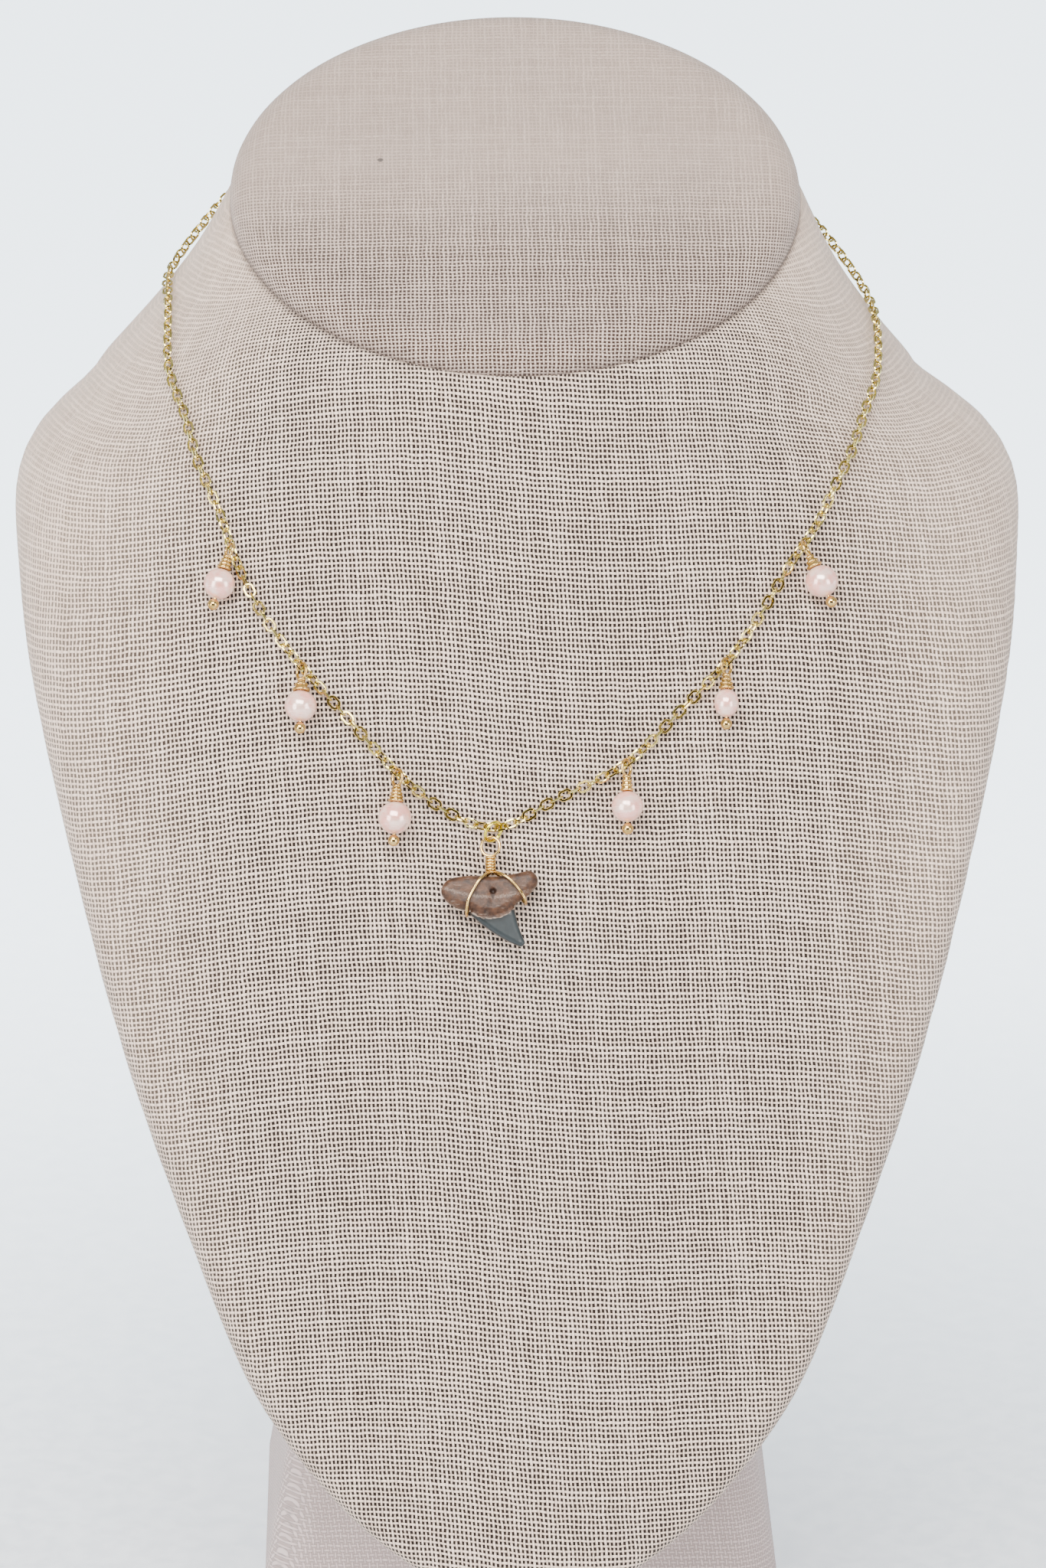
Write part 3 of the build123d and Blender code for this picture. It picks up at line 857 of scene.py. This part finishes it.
@dataclass
class BustCover:
    """Linen cover of the chest, shoulders and neck, drawn over the bust's form.

    The tip's rises, the seam's depths, seam_round, rise_over and the drag are in millimetres,
    and the turns are in degrees.
    """

    columns: int = 240
    step: float = 2.2 * MM
    tilt_from: float = 150 * MM
    lean_from: float = 120 * MM
    lean_to: float = 165 * MM
    tip_rises: tuple[float, ...] = (0.05, 0.25, 0.7, 1.4, 2.4, 3.8, 5.6, 7.6)
    seam_depths: tuple[float, ...] = (3.6, 2.6, 1.7, 1.0, 0.5, 0.15, 0.02, 0.0)
    seam_round: float = 3.6
    seam_rise: float = 0.3 * MM
    rise_over: float = 9.0
    cap_radius: float = 41.0 * MM
    cap_thickness: float = 5.0 * MM
    warp_lean: float = math.tan(math.radians(4.0))
    slack_turns: Pair = (84.0, 42.0)
    drag_at: tuple[float, ...] = (-75, -45, -22, -6, 22, 50, 75)
    drag_slope: tuple[float, ...] = (0.10, 0.21, 0.05, -0.13, 0.0, -0.16, -0.10)
    drag_reach: int = 110
    map_reach: int = 240
    tube_radius: float = 0.1

    def build(self) -> Object:
        """Extrudes a tube of rings, seats it on the form and maps its threads.

        Returns:
            The cover.
        """
        form = merged_copy("bust_form", "form_copy")
        self.tree = BVHTree.FromPolygons([v.co for v in form.data.vertices],
                                         [p.vertices for p in form.data.polygons])
        bpy.data.objects.remove(form)
        levels = self.levels()
        grid = self.seat(levels)
        rings = [(self.tube_radius, float(row)) for row in range(len(levels))]
        cover = extrude_rings("bust_cover", rings, self.columns)
        self.shape(cover, grid)
        smooth(cover)
        return cover

    def levels(self) -> list[Pair]:
        """Sets out the rings from the tip up to the cap's seam.

        Returns:
            Height at the axis and tilt of each ring.
        """
        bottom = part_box("bust_form")[0].z
        seam = self.tree.ray_cast(Vector((0, NECK_Y, 1.0)), Vector((0, 0, -1)))[0].z
        rises = [rise * MM for rise in self.tip_rises]
        while bottom + rises[-1] + 2 * self.step < seam - self.seam_depths[0] * MM:
            rises.append(rises[-1] + self.step)
        rows = [(bottom + rise, CAP_TILT * eased(bottom + rise, self.tilt_from, seam))
                for rise in rises]
        return rows + [(seam - depth * MM, CAP_TILT) for depth in self.seam_depths]

    def axis_y(self, height: float) -> float:
        """Finds the middle of the form from front to back.

        Args:
            height: Where it is looked for.

        Returns:
            The middle's Y, led over to the neck's axis further up.
        """
        height = min(height, self.lean_to)
        front, back = (self.tree.ray_cast(Vector((0, -side, height)), Vector((0, side, 0)))[0].y
                       for side in (1, -1))
        share = clamped((height - self.lean_from) / (self.lean_to - self.lean_from))
        return (front + back) / 2 * (1 - share) + NECK_Y * share

    def seat(self, levels: list[Pair]) -> np.ndarray:
        """Casts each ring's points outwards onto the form.

        Args:
            levels: Height at the axis and tilt of each ring.

        Returns:
            Points by ring and column, columns from the back's middle round by the left.
        """
        grid = np.zeros((len(levels), self.columns, 3))
        for row, (height, tilt) in enumerate(levels):
            start = Vector((0, self.axis_y(height), height))
            for column in range(self.columns):
                turn = 2 * math.pi * column / self.columns - math.pi
                way = Vector((math.sin(turn), -math.cos(turn) * math.cos(tilt),
                              -math.cos(turn) * math.sin(tilt)))
                hit = self.tree.ray_cast(start, way)[0]
                grid[row, column] = hit if hit else start
        self.turn_in(grid)
        return grid

    def turn_in(self, grid: np.ndarray) -> None:
        """Rounds the last rings in to the cap's edge, as the cloth goes into the seam.

        Args:
            grid: The seated points, changed in place.
        """
        normal = np.array([0, -math.sin(CAP_TILT), math.cos(CAP_TILT)])
        under = np.array(middle("neck_cap")) - normal * self.cap_thickness / 2
        for row, depth in zip(range(-len(self.seam_depths), 0), self.seam_depths):
            out = grid[row] - under
            out -= np.outer(out @ normal, normal)
            reach = np.linalg.norm(out, axis=1)
            sunk = 1 - depth / self.seam_round
            share = 1 - math.sqrt(max(1 - sunk * sunk, 0))
            grid[row] -= out / reach[:, None] * ((reach - self.cap_radius) * share)[:, None]
        for row in range(len(grid)):
            below = (under - grid[row]) @ normal / MM
            lift = np.clip(1 - below / self.rise_over, 0, 1)
            grid[row] += np.outer(lift * lift * self.seam_rise, normal)

    def shape(self, cover: Object, grid: np.ndarray) -> None:
        """Moves the tube's points onto the form and writes the threads' map.

        Args:
            cover: The tube, its rings one unit apart.
            grid: The seated points.
        """
        rows, columns = grid.shape[:2]
        across, along = self.threads(grid)
        keys = []
        for vertex in cover.data.vertices:
            row = clamped(round(vertex.co.z), 0, rows - 1)
            pole = math.hypot(vertex.co.x, vertex.co.y) < self.tube_radius / 2
            turn = math.atan2(vertex.co.x, -vertex.co.y) + math.pi
            column = round(turn / (2 * math.pi) * columns) % columns
            keys.append((row, None if pole else column))
        for vertex, (row, column) in zip(cover.data.vertices, keys):
            vertex.co = grid[row].mean(0) if column is None else grid[row, column]
        turns = [180 if column is None else abs(360 * column / columns - 180) for _, column in keys]
        write_shares(cover, "taut", [eased(turn, *self.slack_turns) for turn in turns])
        # Share of the seam line's painted shade on the last rings.
        write_shares(cover, "seam", [eased(row, rows - 3, rows - 1) for row, _ in keys])
        layer = own_map(cover, "threads")
        for face in cover.data.polygons:
            found = [keys[index][1] for index in face.vertices]
            known = [column for column in found if column is not None]
            wraps = max(known) - min(known) > columns / 2
            for loop, index in zip(face.loop_indices, face.vertices):
                row, column = keys[index]
                if column is None:
                    column = known[0]
                elif wraps and column == 0:
                    column = columns
                layer.data[loop].uv = (across[row, column], along[row, column])

    def threads(self, grid: np.ndarray) -> tuple[np.ndarray, np.ndarray]:
        """Thread coordinates in millimetres, with the cloth's drag across the chest.

        Args:
            grid: The seated points.

        Returns:
            Distance across from the front's middle, and distance up, by ring and column.
        """
        closed = np.concatenate([grid, grid[:, :1]], axis=1) / MM
        gaps = np.linalg.norm(np.diff(closed, axis=1), axis=2)
        across = np.concatenate([np.zeros((len(grid), 1)), np.cumsum(gaps, axis=1)], axis=1)
        front = grid.shape[1] // 2
        across -= across[:, front:front + 1]
        rises = np.linalg.norm(np.diff(closed, axis=0), axis=2)
        base = int(np.argmin(np.abs(closed[:, front, 2] - self.tilt_from / MM)))
        rises[:base] = rises[:base, front:front + 1]
        along = np.concatenate([np.zeros((1, closed.shape[1])), np.cumsum(rises, axis=0)])
        places = np.arange(-self.map_reach, self.map_reach + 1, 1.0)
        slopes = np.interp(places, self.drag_at, self.drag_slope)
        slopes[np.abs(places) > self.drag_reach] = 0
        drag = np.cumsum(slopes)
        drag -= drag[len(drag) // 2]
        return across + self.warp_lean * along, along - np.interp(across, places, drag)


@dataclass
class NeckCap:
    """Padded linen cover of the neck's slanted top."""

    radius: float = 41.3 * MM
    thickness: float = 5.2 * MM
    edge: float = 5.0 * MM
    edge_drop: float = 3.4 * MM
    crown: float = 0.5 * MM
    under_edge: float = 0.8 * MM
    sides: int = 160
    under_steps: int = 4
    edge_steps: int = 8
    crown_steps: int = 16
    slack_places: Pair = (6.0 * MM, -26.0 * MM)
    # Heights over which the painted shade of the seam line fades along the cap's lower rim.
    seam_shade_heights: Pair = (1.1 * MM, 0.55 * MM)
    fall_slope: float = 1.11
    turn_share: float = 0.25

    def build(self) -> Object:
        """Turns the padded profile, maps its threads and leans it onto the neck.

        Returns:
            The cap.
        """
        cap = extrude_rings("neck_cap_cover", self.profile(), self.sides)
        self.map_threads(cap)
        turn = Matrix.Rotation(CAP_TILT, 4, "X")
        lift = turn @ Vector((0, 0, -self.thickness / 2))
        cap.data.transform(Matrix.Translation(middle("neck_cap") + lift) @ turn)
        smooth(cap)
        return cap

    def profile(self) -> list[Pair]:
        """Draws the flat underside, the rounded edge and the low crown.

        Returns:
            Radius and height of each ring.
        """
        rings = [(self.radius * share, 0.0) for share in (0.3, 0.6, 0.9)]
        for step in range(self.under_steps + 1):
            turn = math.pi / 2 * step / self.under_steps
            rings.append((self.radius - self.under_edge * (1 - math.sin(turn)),
                          self.under_edge * (1 - math.cos(turn))))
        for step in range(self.edge_steps + 1):
            turn = math.pi / 2 * step / self.edge_steps
            rings.append((self.radius - self.edge * (1 - math.cos(turn)),
                          self.thickness - self.edge_drop * (1 - math.sin(turn))))
        flat = self.radius - self.edge
        for step in range(1, self.crown_steps):
            share = 1 - step / self.crown_steps
            rings.append((flat * share, self.thickness + self.crown * (1 - share ** 2)))
        return rings

    def map_threads(self, cap: Object) -> None:
        """Lays the threads straight across the top and down its edge, as they look from in front.

        Args:
            cap: The cap, flat, before it leans.
        """
        points = [vertex.co for vertex in cap.data.vertices]
        corners = []
        for x, y, z in points:
            drop = max(self.thickness - z, 0)
            radius = max(math.hypot(x, y), MM)
            way = clamped(y / (self.turn_share * self.radius), -1)
            corners.append(((x + drop * (x / radius) ** 3) / MM,
                            (y + drop * self.fall_slope * way) / MM))
        map_points(cap, "threads", corners)
        write_shares(cap, "taut", [eased(point.y, *self.slack_places) for point in points])
        # Share of the seam line's painted shade along the cap's lower rim.
        write_shares(cap, "seam", [eased(point.z, *self.seam_shade_heights) for point in points])


@dataclass
class CableChain:
    """Flat cable chain: the links that show and those behind the neck.

    The hidden route has turns about the neck in degrees and heights in millimetres.
    """

    links: int = 180
    length: float = 2.2 * MM
    width: float = 1.64 * MM
    wire: float = 0.34 * MM
    face_width: float = 0.39 * MM
    flat: float = 0.80
    pitch: float = 1.44 * MM
    bends: int = 14
    wire_sides: int = 6
    crease: float = 35.0
    stand_off: float = 2.0 * MM
    outside: float = 200.0 * MM
    eye_reach: float = 4.6 * MM
    run_on: float = 1.5
    side_step: float = 0.3 * MM
    lies_out: float = 0.7
    chest_turn: float = math.radians(38.0)
    stray_turn: float = math.radians(30.0)
    neck_turn: float = math.radians(45.0)
    free_from: Pair = (2.2 * MM, 7.0 * MM)
    chest_below: Pair = (162.0 * MM, 156.0 * MM)
    neck_behind: Pair = (8.0 * MM, 16.0 * MM)
    hidden_route: tuple[Pair, ...] = ((121.0, 197.0), (139.0, 199.2), (158.0, 200.6), (173.0, 201.0))

    def link(self) -> Object:
        """Draws one link from a ring whose halves are moved apart.

        Returns:
            The link, its length along X and its face square to Z.
        """
        deselect()
        bpy.ops.mesh.primitive_torus_add(major_segments=self.bends, minor_segments=self.wire_sides,
                                         major_radius=(self.width - self.wire) / 2,
                                         minor_radius=self.face_width / 2)
        link = bpy.context.object
        straight = (self.length - self.width) / 2
        bpy.ops.object.mode_set(mode="EDIT")
        for side in (-1, 1):
            bpy.ops.mesh.select_all(action="DESELECT")
            bpy.ops.object.mode_set(mode="OBJECT")
            for vertex in link.data.vertices:
                vertex.select = vertex.co.x * side > 0
            bpy.ops.object.mode_set(mode="EDIT")
            bpy.ops.transform.translate(value=(side * straight, 0, 0))
        bpy.ops.mesh.select_all(action="SELECT")
        bpy.ops.transform.resize(value=(1, 1, self.flat), center_override=(0, 0, 0))
        bpy.ops.object.mode_set(mode="OBJECT")
        return link

    def shown_frames(self) -> list[np.ndarray]:
        """Centre and directions of each packed link, in the chain's order."""
        blocks = node_points("chain_front").reshape(self.links, -1, 3)
        frames = [np.vstack(principal_axes(block)) for block in blocks]
        return sorted(frames, key=lambda row: math.atan2(row[0, 0], NECK_Y - row[0, 1]))

    def twisted(self, frames: list[np.ndarray]) -> list[np.ndarray]:
        """Turns the links about the chain's run, but not those that carry a drop.

        Args:
            frames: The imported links' frames, in the chain's order.

        Returns:
            The turned frames.
        """
        hung = [principal_axes(node_points("jump_ring"))[0]]
        for number in range(1, Pearls.count + 1):
            pin = node_points(f"drop_pin_{number}")
            hung.append(pin[pin[:, 2].argmax()])
        runs = np.gradient(np.array([placed[0] for placed in frames]), axis=0)
        turned = []
        for index, (placed, run) in enumerate(zip(frames, runs)):
            centre = placed[0]
            away = min(np.linalg.norm(centre - point) for point in hung)
            turn = self.chest_turn + self.stray_turn * noise.noise(Vector((index * 0.3, 0, 0)))
            turn *= eased(away, *self.free_from) * eased(centre[2], *self.chest_below)
            turn += self.neck_turn * eased(centre[1], *self.neck_behind)
            way = placed[1] if placed[1] @ run > 0 else -placed[1]
            about = np.array(Matrix.Rotation(-turn, 3, Vector(way)))
            turned.append(np.vstack([centre, placed[1:] @ about.T]))
        return turned

    def hidden_frames(self, last: np.ndarray, before: np.ndarray, side: int,
                      tree: BVHTree) -> list[np.ndarray]:
        """Frames of the links from the last that shows to the clasp's eye.

        Args:
            last: Frame of the last link that shows.
            before: Frame of the link before it.
            side: -1 for the left and 1 for the right.
            tree: The form, to seat the chain on.

        Returns:
            A frame for each hidden link.
        """
        points = [last[0], last[0] + (last[0] - before[0]) * self.run_on]
        points += [self.seated(side * turn, height * MM, tree) for turn, height in self.hidden_route]
        points.append(np.array(middle("clasp")) + np.array([side * self.eye_reach, 0, 0]))
        for _ in range(3):
            points = cut_corners(points)
        points = np.array(points)
        lengths = np.concatenate([[0], np.cumsum(np.linalg.norm(np.diff(points, axis=0), axis=1))])
        last_lies_out = abs(last[2] @ self.outward(last[0])) > self.lies_out
        count = round(lengths[-1] / self.pitch)
        if (count % 2 == 0) != last_lies_out:
            count += 1
        frames = []
        for index in range(1, count + 1):
            place = lengths[-1] * index / count
            behind, centre, ahead = (
                np.array([np.interp(place + shift, lengths, points[:, axis]) for axis in range(3)])
                for shift in (-self.side_step, 0, self.side_step))
            along = (ahead - behind) / np.linalg.norm(ahead - behind)
            out = self.outward(centre)
            out = out - along * (out @ along)
            out /= np.linalg.norm(out)
            across = out if (count - index) % 2 == 0 else np.cross(out, along)
            frames.append(np.vstack([centre, along, across, np.cross(along, across)]))
        return frames

    def outward(self, point: np.ndarray) -> np.ndarray:
        """Level direction from the neck's axis to a point."""
        way = np.array([point[0], point[1] - NECK_Y, 0.0])
        return way / np.linalg.norm(way)

    def seated(self, turn: float, height: float, tree: BVHTree) -> np.ndarray:
        """Finds a point of the hidden route beside the form.

        Args:
            turn: Its turn about the neck's axis, in degrees.
            height: Its height.
            tree: The form.

        Returns:
            The point.
        """
        angle = math.radians(turn)
        way = Vector((math.sin(angle), -math.cos(angle), 0))
        start = Vector((0, NECK_Y, height)) + way * self.outside
        hit, normal = tree.ray_cast(start, -way)[:2]
        return np.array(hit + normal * self.stand_off)

    def build(self, tree: BVHTree) -> Object:
        """Copies the link along the whole chain into one mesh.

        Args:
            tree: The form that the hidden stretch lies on.

        Returns:
            The chain.
        """
        link = self.link()
        shown = self.shown_frames()
        frames = self.twisted(shown)
        for end, before, side in ((shown[0], shown[1], -1), (shown[-1], shown[-2], 1)):
            frames += self.hidden_frames(end, before, side, tree)
        shape = np.array([vertex.co for vertex in link.data.vertices])
        faces = np.array([tuple(face.vertices) for face in link.data.polygons])
        points, quads = [], []
        for number, placed in enumerate(frames):
            axes = placed[1:].copy()
            if np.linalg.det(axes) < 0:
                axes[2] *= -1
            points.append(placed[0] + shape @ axes)
            quads.append(faces + number * len(shape))
        mesh = bpy.data.meshes.new("cable_chain")
        mesh.from_pydata(np.concatenate(points).tolist(), [], np.concatenate(quads).tolist())
        mesh.update()
        chain = linked("cable_chain", mesh)
        bpy.data.objects.remove(link)
        smooth(chain, self.crease)
        return chain


def cut_corners(points: list[np.ndarray]) -> list[np.ndarray]:
    """Cuts each corner of a path at a quarter of its runs.

    Args:
        points: The path.

    Returns:
        The rounder path, with the same ends.
    """
    out = [points[0]]
    for start, end in zip(points, points[1:]):
        out += [start * 0.75 + end * 0.25, start * 0.25 + end * 0.75]
    return [*out, points[-1]]


@dataclass
class Pearls:
    """Six pink pearls, a little lumpy, each drawn on its pin."""

    count: int = 6
    rings: int = 30
    sides: int = 48
    lump: float = 0.05 * MM
    lump_size: float = 1.6 * MM
    roundness: float = 0.97

    def build(self, number: int) -> Object:
        """Turns one pearl and sets it on its pin.

        Args:
            number: The drop's number.

        Returns:
            The pearl.
        """
        points = node_points(f"pearl_{number}")
        pin_axis = principal_axes(node_points(f"drop_pin_{number}"))[1][0]
        centre = (points.max(0) + points.min(0)) / 2
        local = (points - centre) @ pin_axis
        offset = (local.max() + local.min()) / 2
        spread = points - centre - np.outer(local, pin_axis)
        half_wide = np.linalg.norm(spread, axis=1).max()
        half_long = max((local.max() - local.min()) / 2, half_wide * self.roundness)
        deselect()
        bpy.ops.mesh.primitive_uv_sphere_add(segments=self.sides, ring_count=self.rings, radius=1.0)
        pearl = bpy.context.object
        pearl.name = f"pearl_bead_{number}"
        pearl.data.name = pearl.name
        turn = Vector((0, 0, 1)).rotation_difference(Vector(pin_axis)).to_matrix().to_4x4()
        size = Matrix.Diagonal((half_wide, half_wide, half_long, 1))
        place = Matrix.Translation(Vector(centre + pin_axis * offset))
        pearl.data.transform(place @ turn @ size)
        for vertex in pearl.data.vertices:
            lump = noise.noise(vertex.co / self.lump_size, noise_basis="PERLIN_ORIGINAL")
            vertex.co += vertex.normal * lump * self.lump
        smooth(pearl)
        return pearl


@dataclass
class SharkTooth:
    """The tooth's root and crown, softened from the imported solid.

    Its map and the places of its wear are millimetres across, up and out of its face.
    """

    voxel: float = 0.13 * MM
    left_reach: float = -7.0 * MM
    tip_reach: float = -7.62 * MM
    grain: float = 0.035 * MM
    grain_scales: Pair = (0.9, 2.3)
    root_from: float = -2.2
    root_over: float = 1.2
    crown_from: float = -3.2
    crown_over: float = 3.6
    crown_thinner: float = 0.35
    groove: float = 0.22 * MM
    groove_centre: Pair = (0.3, -0.9)
    groove_size: Pair = (0.7, 1.3)
    face_above: float = 0.5

    def build(self) -> Object:
        """Remeshes the solid, wears its surface and maps it flat.

        Returns:
            The tooth.
        """
        tooth = merged_copy("shark_tooth", "tooth_body")
        tooth.data.materials.clear()
        apply_modifier(tooth, "REMESH", mode="VOXEL", voxel_size=self.voxel)
        apply_modifier(tooth, "SMOOTH", factor=0.5, iterations=2)
        solid = node_points("shark_tooth")
        normal = principal_axes(solid)[1][2]
        normal = normal * (-1 if normal[1] > 0 else 1)
        right = np.array([1.0, 0.0, 0.0]) - normal * normal[0]
        right /= np.linalg.norm(right)
        axes = np.vstack([right, np.cross(normal, right), normal])
        lows, highs = (solid @ axes.T).min(0), (solid @ axes.T).max(0)
        origin = np.array([lows[0] - self.left_reach, lows[1] - self.tip_reach,
                           (lows[2] + highs[2]) / 2])
        points = np.array([vertex.co for vertex in tooth.data.vertices]) @ axes.T - origin
        points = self.carve(points)
        map_points(tooth, "flat", points[:, :2] / MM)
        for vertex, point in zip(tooth.data.vertices, (points + origin) @ axes):
            vertex.co = point
        smooth(tooth)
        return tooth

    def carve(self, points: np.ndarray) -> np.ndarray:
        """Wears the root and thins the crown.

        Args:
            points: The tooth's points, across, up and out of its face.

        Returns:
            The moved points.
        """
        out = points.copy()
        for index, place in enumerate(points / MM):
            x, y, z = place
            coarse, fine = (noise.noise(Vector(place) * scale) for scale in self.grain_scales)
            root = clamped((y - self.root_from) / self.root_over)
            lump = self.grain * (coarse + 0.5 * fine) * (0.15 + 0.85 * root)
            off_x = (x - self.groove_centre[0]) / self.groove_size[0]
            off_y = (y - self.groove_centre[1]) / self.groove_size[1]
            groove = self.groove * math.exp(-off_x ** 2 - off_y ** 2) if z > self.face_above else 0
            thin = 1 - self.crown_thinner * clamped((self.crown_from - y) / self.crown_over)
            side = 1 if z > 0 else -1
            out[index, 2] = points[index, 2] * thin + side * (lump - groove)
            out[index, 1] += 0.5 * lump
        return out


@dataclass
class Studio:
    """Camera, pale floor and soft lights."""

    target: Triple = (0.0, -0.038, 0.130)
    azimuth: float = -1.1
    elevation: float = 20.0
    distance: float = 1.0
    focal_pixels: float = 9300.0
    sensor: float = 36.0
    floor_size: float = 12.0
    pile_dark: Triple = (0.60, 0.63, 0.67)
    pile_light: Triple = (0.72, 0.75, 0.78)
    floor_far: Triple = (0.82, 0.93, 1.0)
    glow: Triple = (0.80, 0.91, 1.0)
    glow_places: Pair = (-0.15, 0.28)
    glow_strength: float = 3.2
    sky: Triple = (0.90, 0.95, 1.0)
    sky_dark: Triple = (0.02, 0.02, 0.02)
    sky_strength: float = 0.75

    def camera(self) -> None:
        """Puts the camera at the photograph's angle and framing."""
        turn, lift = math.radians(self.azimuth), math.radians(self.elevation)
        away = Vector((math.sin(turn) * math.cos(lift), -math.cos(turn) * math.cos(lift),
                       math.sin(lift)))
        data = bpy.data.cameras.new("view")
        data.sensor_fit = "VERTICAL"
        data.sensor_height = self.sensor
        data.lens = self.sensor * self.focal_pixels / PHOTO_HEIGHT
        camera = linked("view", data)
        camera.location = Vector(self.target) + away * self.distance
        camera.rotation_euler = (-away).to_track_quat("-Z", "Y").to_euler()
        bpy.context.scene.camera = camera

    def floor(self) -> None:
        """Lays the floor, with a short pile in front and a glow behind the bust."""
        deselect()
        bpy.ops.mesh.primitive_plane_add(size=self.floor_size)
        floor = bpy.context.object
        floor.name = "floor"
        material, n, shader = new_material("pale_floor", Emission_Strength=self.glow_strength,
                                           Roughness=0.8)
        spot = n.coordinates("Object")
        back = n.split(spot)[1]
        pile = n.band(n.noise(spot, 260.0, 3.0, 0.7), 0.35, 0.65)
        near = n.mix(pile, self.pile_dark, self.pile_light)
        n.feed(shader["Base Color"], n.mix(n.band(back, -0.1, 0.9), near, self.floor_far))
        glow = n.mix(n.band(back, *self.glow_places), (0.0, 0.0, 0.0), self.glow)
        n.feed(shader["Emission Color"], glow)
        dress(floor, material)

    def lamp(self, name: str, place: Triple, size: Pair, power: float, tint: Triple) -> None:
        """Hangs one soft box that faces the necklace.

        Args:
            name: The lamp's name.
            place: Where it hangs.
            size: Its width and height.
            power: Its power in watts.
            tint: Its colour.
        """
        data = bpy.data.lights.new(name, "AREA")
        data.shape = "RECTANGLE"
        data.size, data.size_y = size
        data.energy = power
        data.color = tint
        lamp = linked(name, data)
        lamp.location = place
        way = Vector(self.target) - Vector(place)
        lamp.rotation_euler = way.to_track_quat("-Z", "Y").to_euler()

    def light(self) -> None:
        """Sets the sky, dark on the camera's side, and the soft boxes."""
        world = bpy.data.worlds.new("studio")
        world.use_nodes = True
        n = Nodes(world.node_tree)
        back = world.node_tree.nodes["Background"].inputs
        side = n.band(n.split(n.coordinates("Generated"))[1], -0.1, -0.6)
        n.feed(back["Color"], n.mix(side, self.sky, self.sky_dark))
        back["Strength"].default_value = self.sky_strength
        bpy.context.scene.world = world
        self.lamp("window", (-0.15, -0.68, 0.95), (0.95, 0.5), 28.0, (1.0, 0.98, 0.95))
        self.lamp("left_box", (-1.0, -0.95, 0.42), (0.6, 0.8), 16.0, (1.0, 0.97, 0.94))
        self.lamp("right_box", (1.0, -0.95, 0.38), (0.6, 0.8), 13.0, (1.0, 0.98, 0.97))


GOLDS = {
    Slot.CHAIN_GOLD: GoldFinish("chain_gold", (0.72, 0.60, 0.22), (0.44, 0.35, 0.10), 0.09, 0.12),
    Slot.RING_GOLD: GoldFinish("ring_gold", (0.86, 0.72, 0.10), (0.60, 0.48, 0.04), 0.09, 0.10),
    Slot.WIRE_GOLD: GoldFinish("wire_gold", (0.78, 0.54, 0.20), (0.50, 0.32, 0.095), 0.10, 0.12),
}
LINEN = LinenFinish("linen", (0.93, 0.73, 0.60), (0.70, 0.525, 0.41), (0.012, 0.005, 0.003),
                    slack=0.2)
# Painted shade: the cap's linen is a darker copy of the linen, shading its upturned top; its fleck is
# a stain.
SHADED_CAP_LINEN = LinenFinish("cap_linen_shaded", (0.635, 0.492, 0.413), (0.485, 0.366, 0.30),
                        (0.035, 0.018, 0.012), fleck=(-19.5, 3.0), slack=0.2)
# Painted shade: a darker copy of the linen for the foot in the chest's shadow; its gaps are near the
# thread's colour, so the weave hardly shows.
SHADED_FOOT_LINEN = LinenFinish("foot_linen_shaded", (0.72, 0.585, 0.56), (0.62, 0.50, 0.475), (0.42, 0.33, 0.31))


def dress_solids(finishes: dict[Slot, Material]) -> None:
    """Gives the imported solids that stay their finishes.

    Args:
        finishes: The materials by slot.
    """
    kept = {"clasp": Slot.CHAIN_GOLD, "jump_ring": Slot.RING_GOLD, "pendant_wire": Slot.WIRE_GOLD,
            "bust_foot": Slot.LINEN_SHADE}
    kept |= {f"drop_pin_{number}": Slot.WIRE_GOLD for number in range(1, Pearls.count + 1)}
    for node, slot in kept.items():
        dress(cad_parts[node], finishes[slot])
        LOG.info("%s keeps its solid in %s", node, finishes[slot].name)


def main() -> None:
    """Builds, dresses and lights everything."""
    logging.basicConfig(level=logging.INFO, format="%(name)s: %(message)s")
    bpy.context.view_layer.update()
    weave, wear = Weave().group(), wear_group()
    golds = {slot: finish.material(wear) for slot, finish in GOLDS.items()}

    studio = Studio()
    studio.camera()
    studio.floor()
    studio.light()

    bust = BustCover()
    cover = bust.build()
    finish_piece(cover, Slot.LINEN, LINEN.material(weave), "bust_form")
    cap = NeckCap().build()
    finish_piece(cap, Slot.LINEN, SHADED_CAP_LINEN.material(weave), "neck_cap")

    chain = CableChain().build(bust.tree)
    finish_piece(chain, Slot.CHAIN_GOLD, golds[Slot.CHAIN_GOLD],
                 "chain_front", "chain_back_left", "chain_back_right")
    nacre, pearls = PearlFinish().material(), Pearls()
    for number in range(1, pearls.count + 1):
        finish_piece(pearls.build(number), Slot.PEARL, nacre, f"pearl_{number}")
    finish_piece(SharkTooth().build(), Slot.TOOTH, ToothFinish().material(), "shark_tooth")
    dress_solids({**golds, Slot.LINEN_SHADE: SHADED_FOOT_LINEN.material(weave, "Object")})


if __name__ == "__main__":
    main()
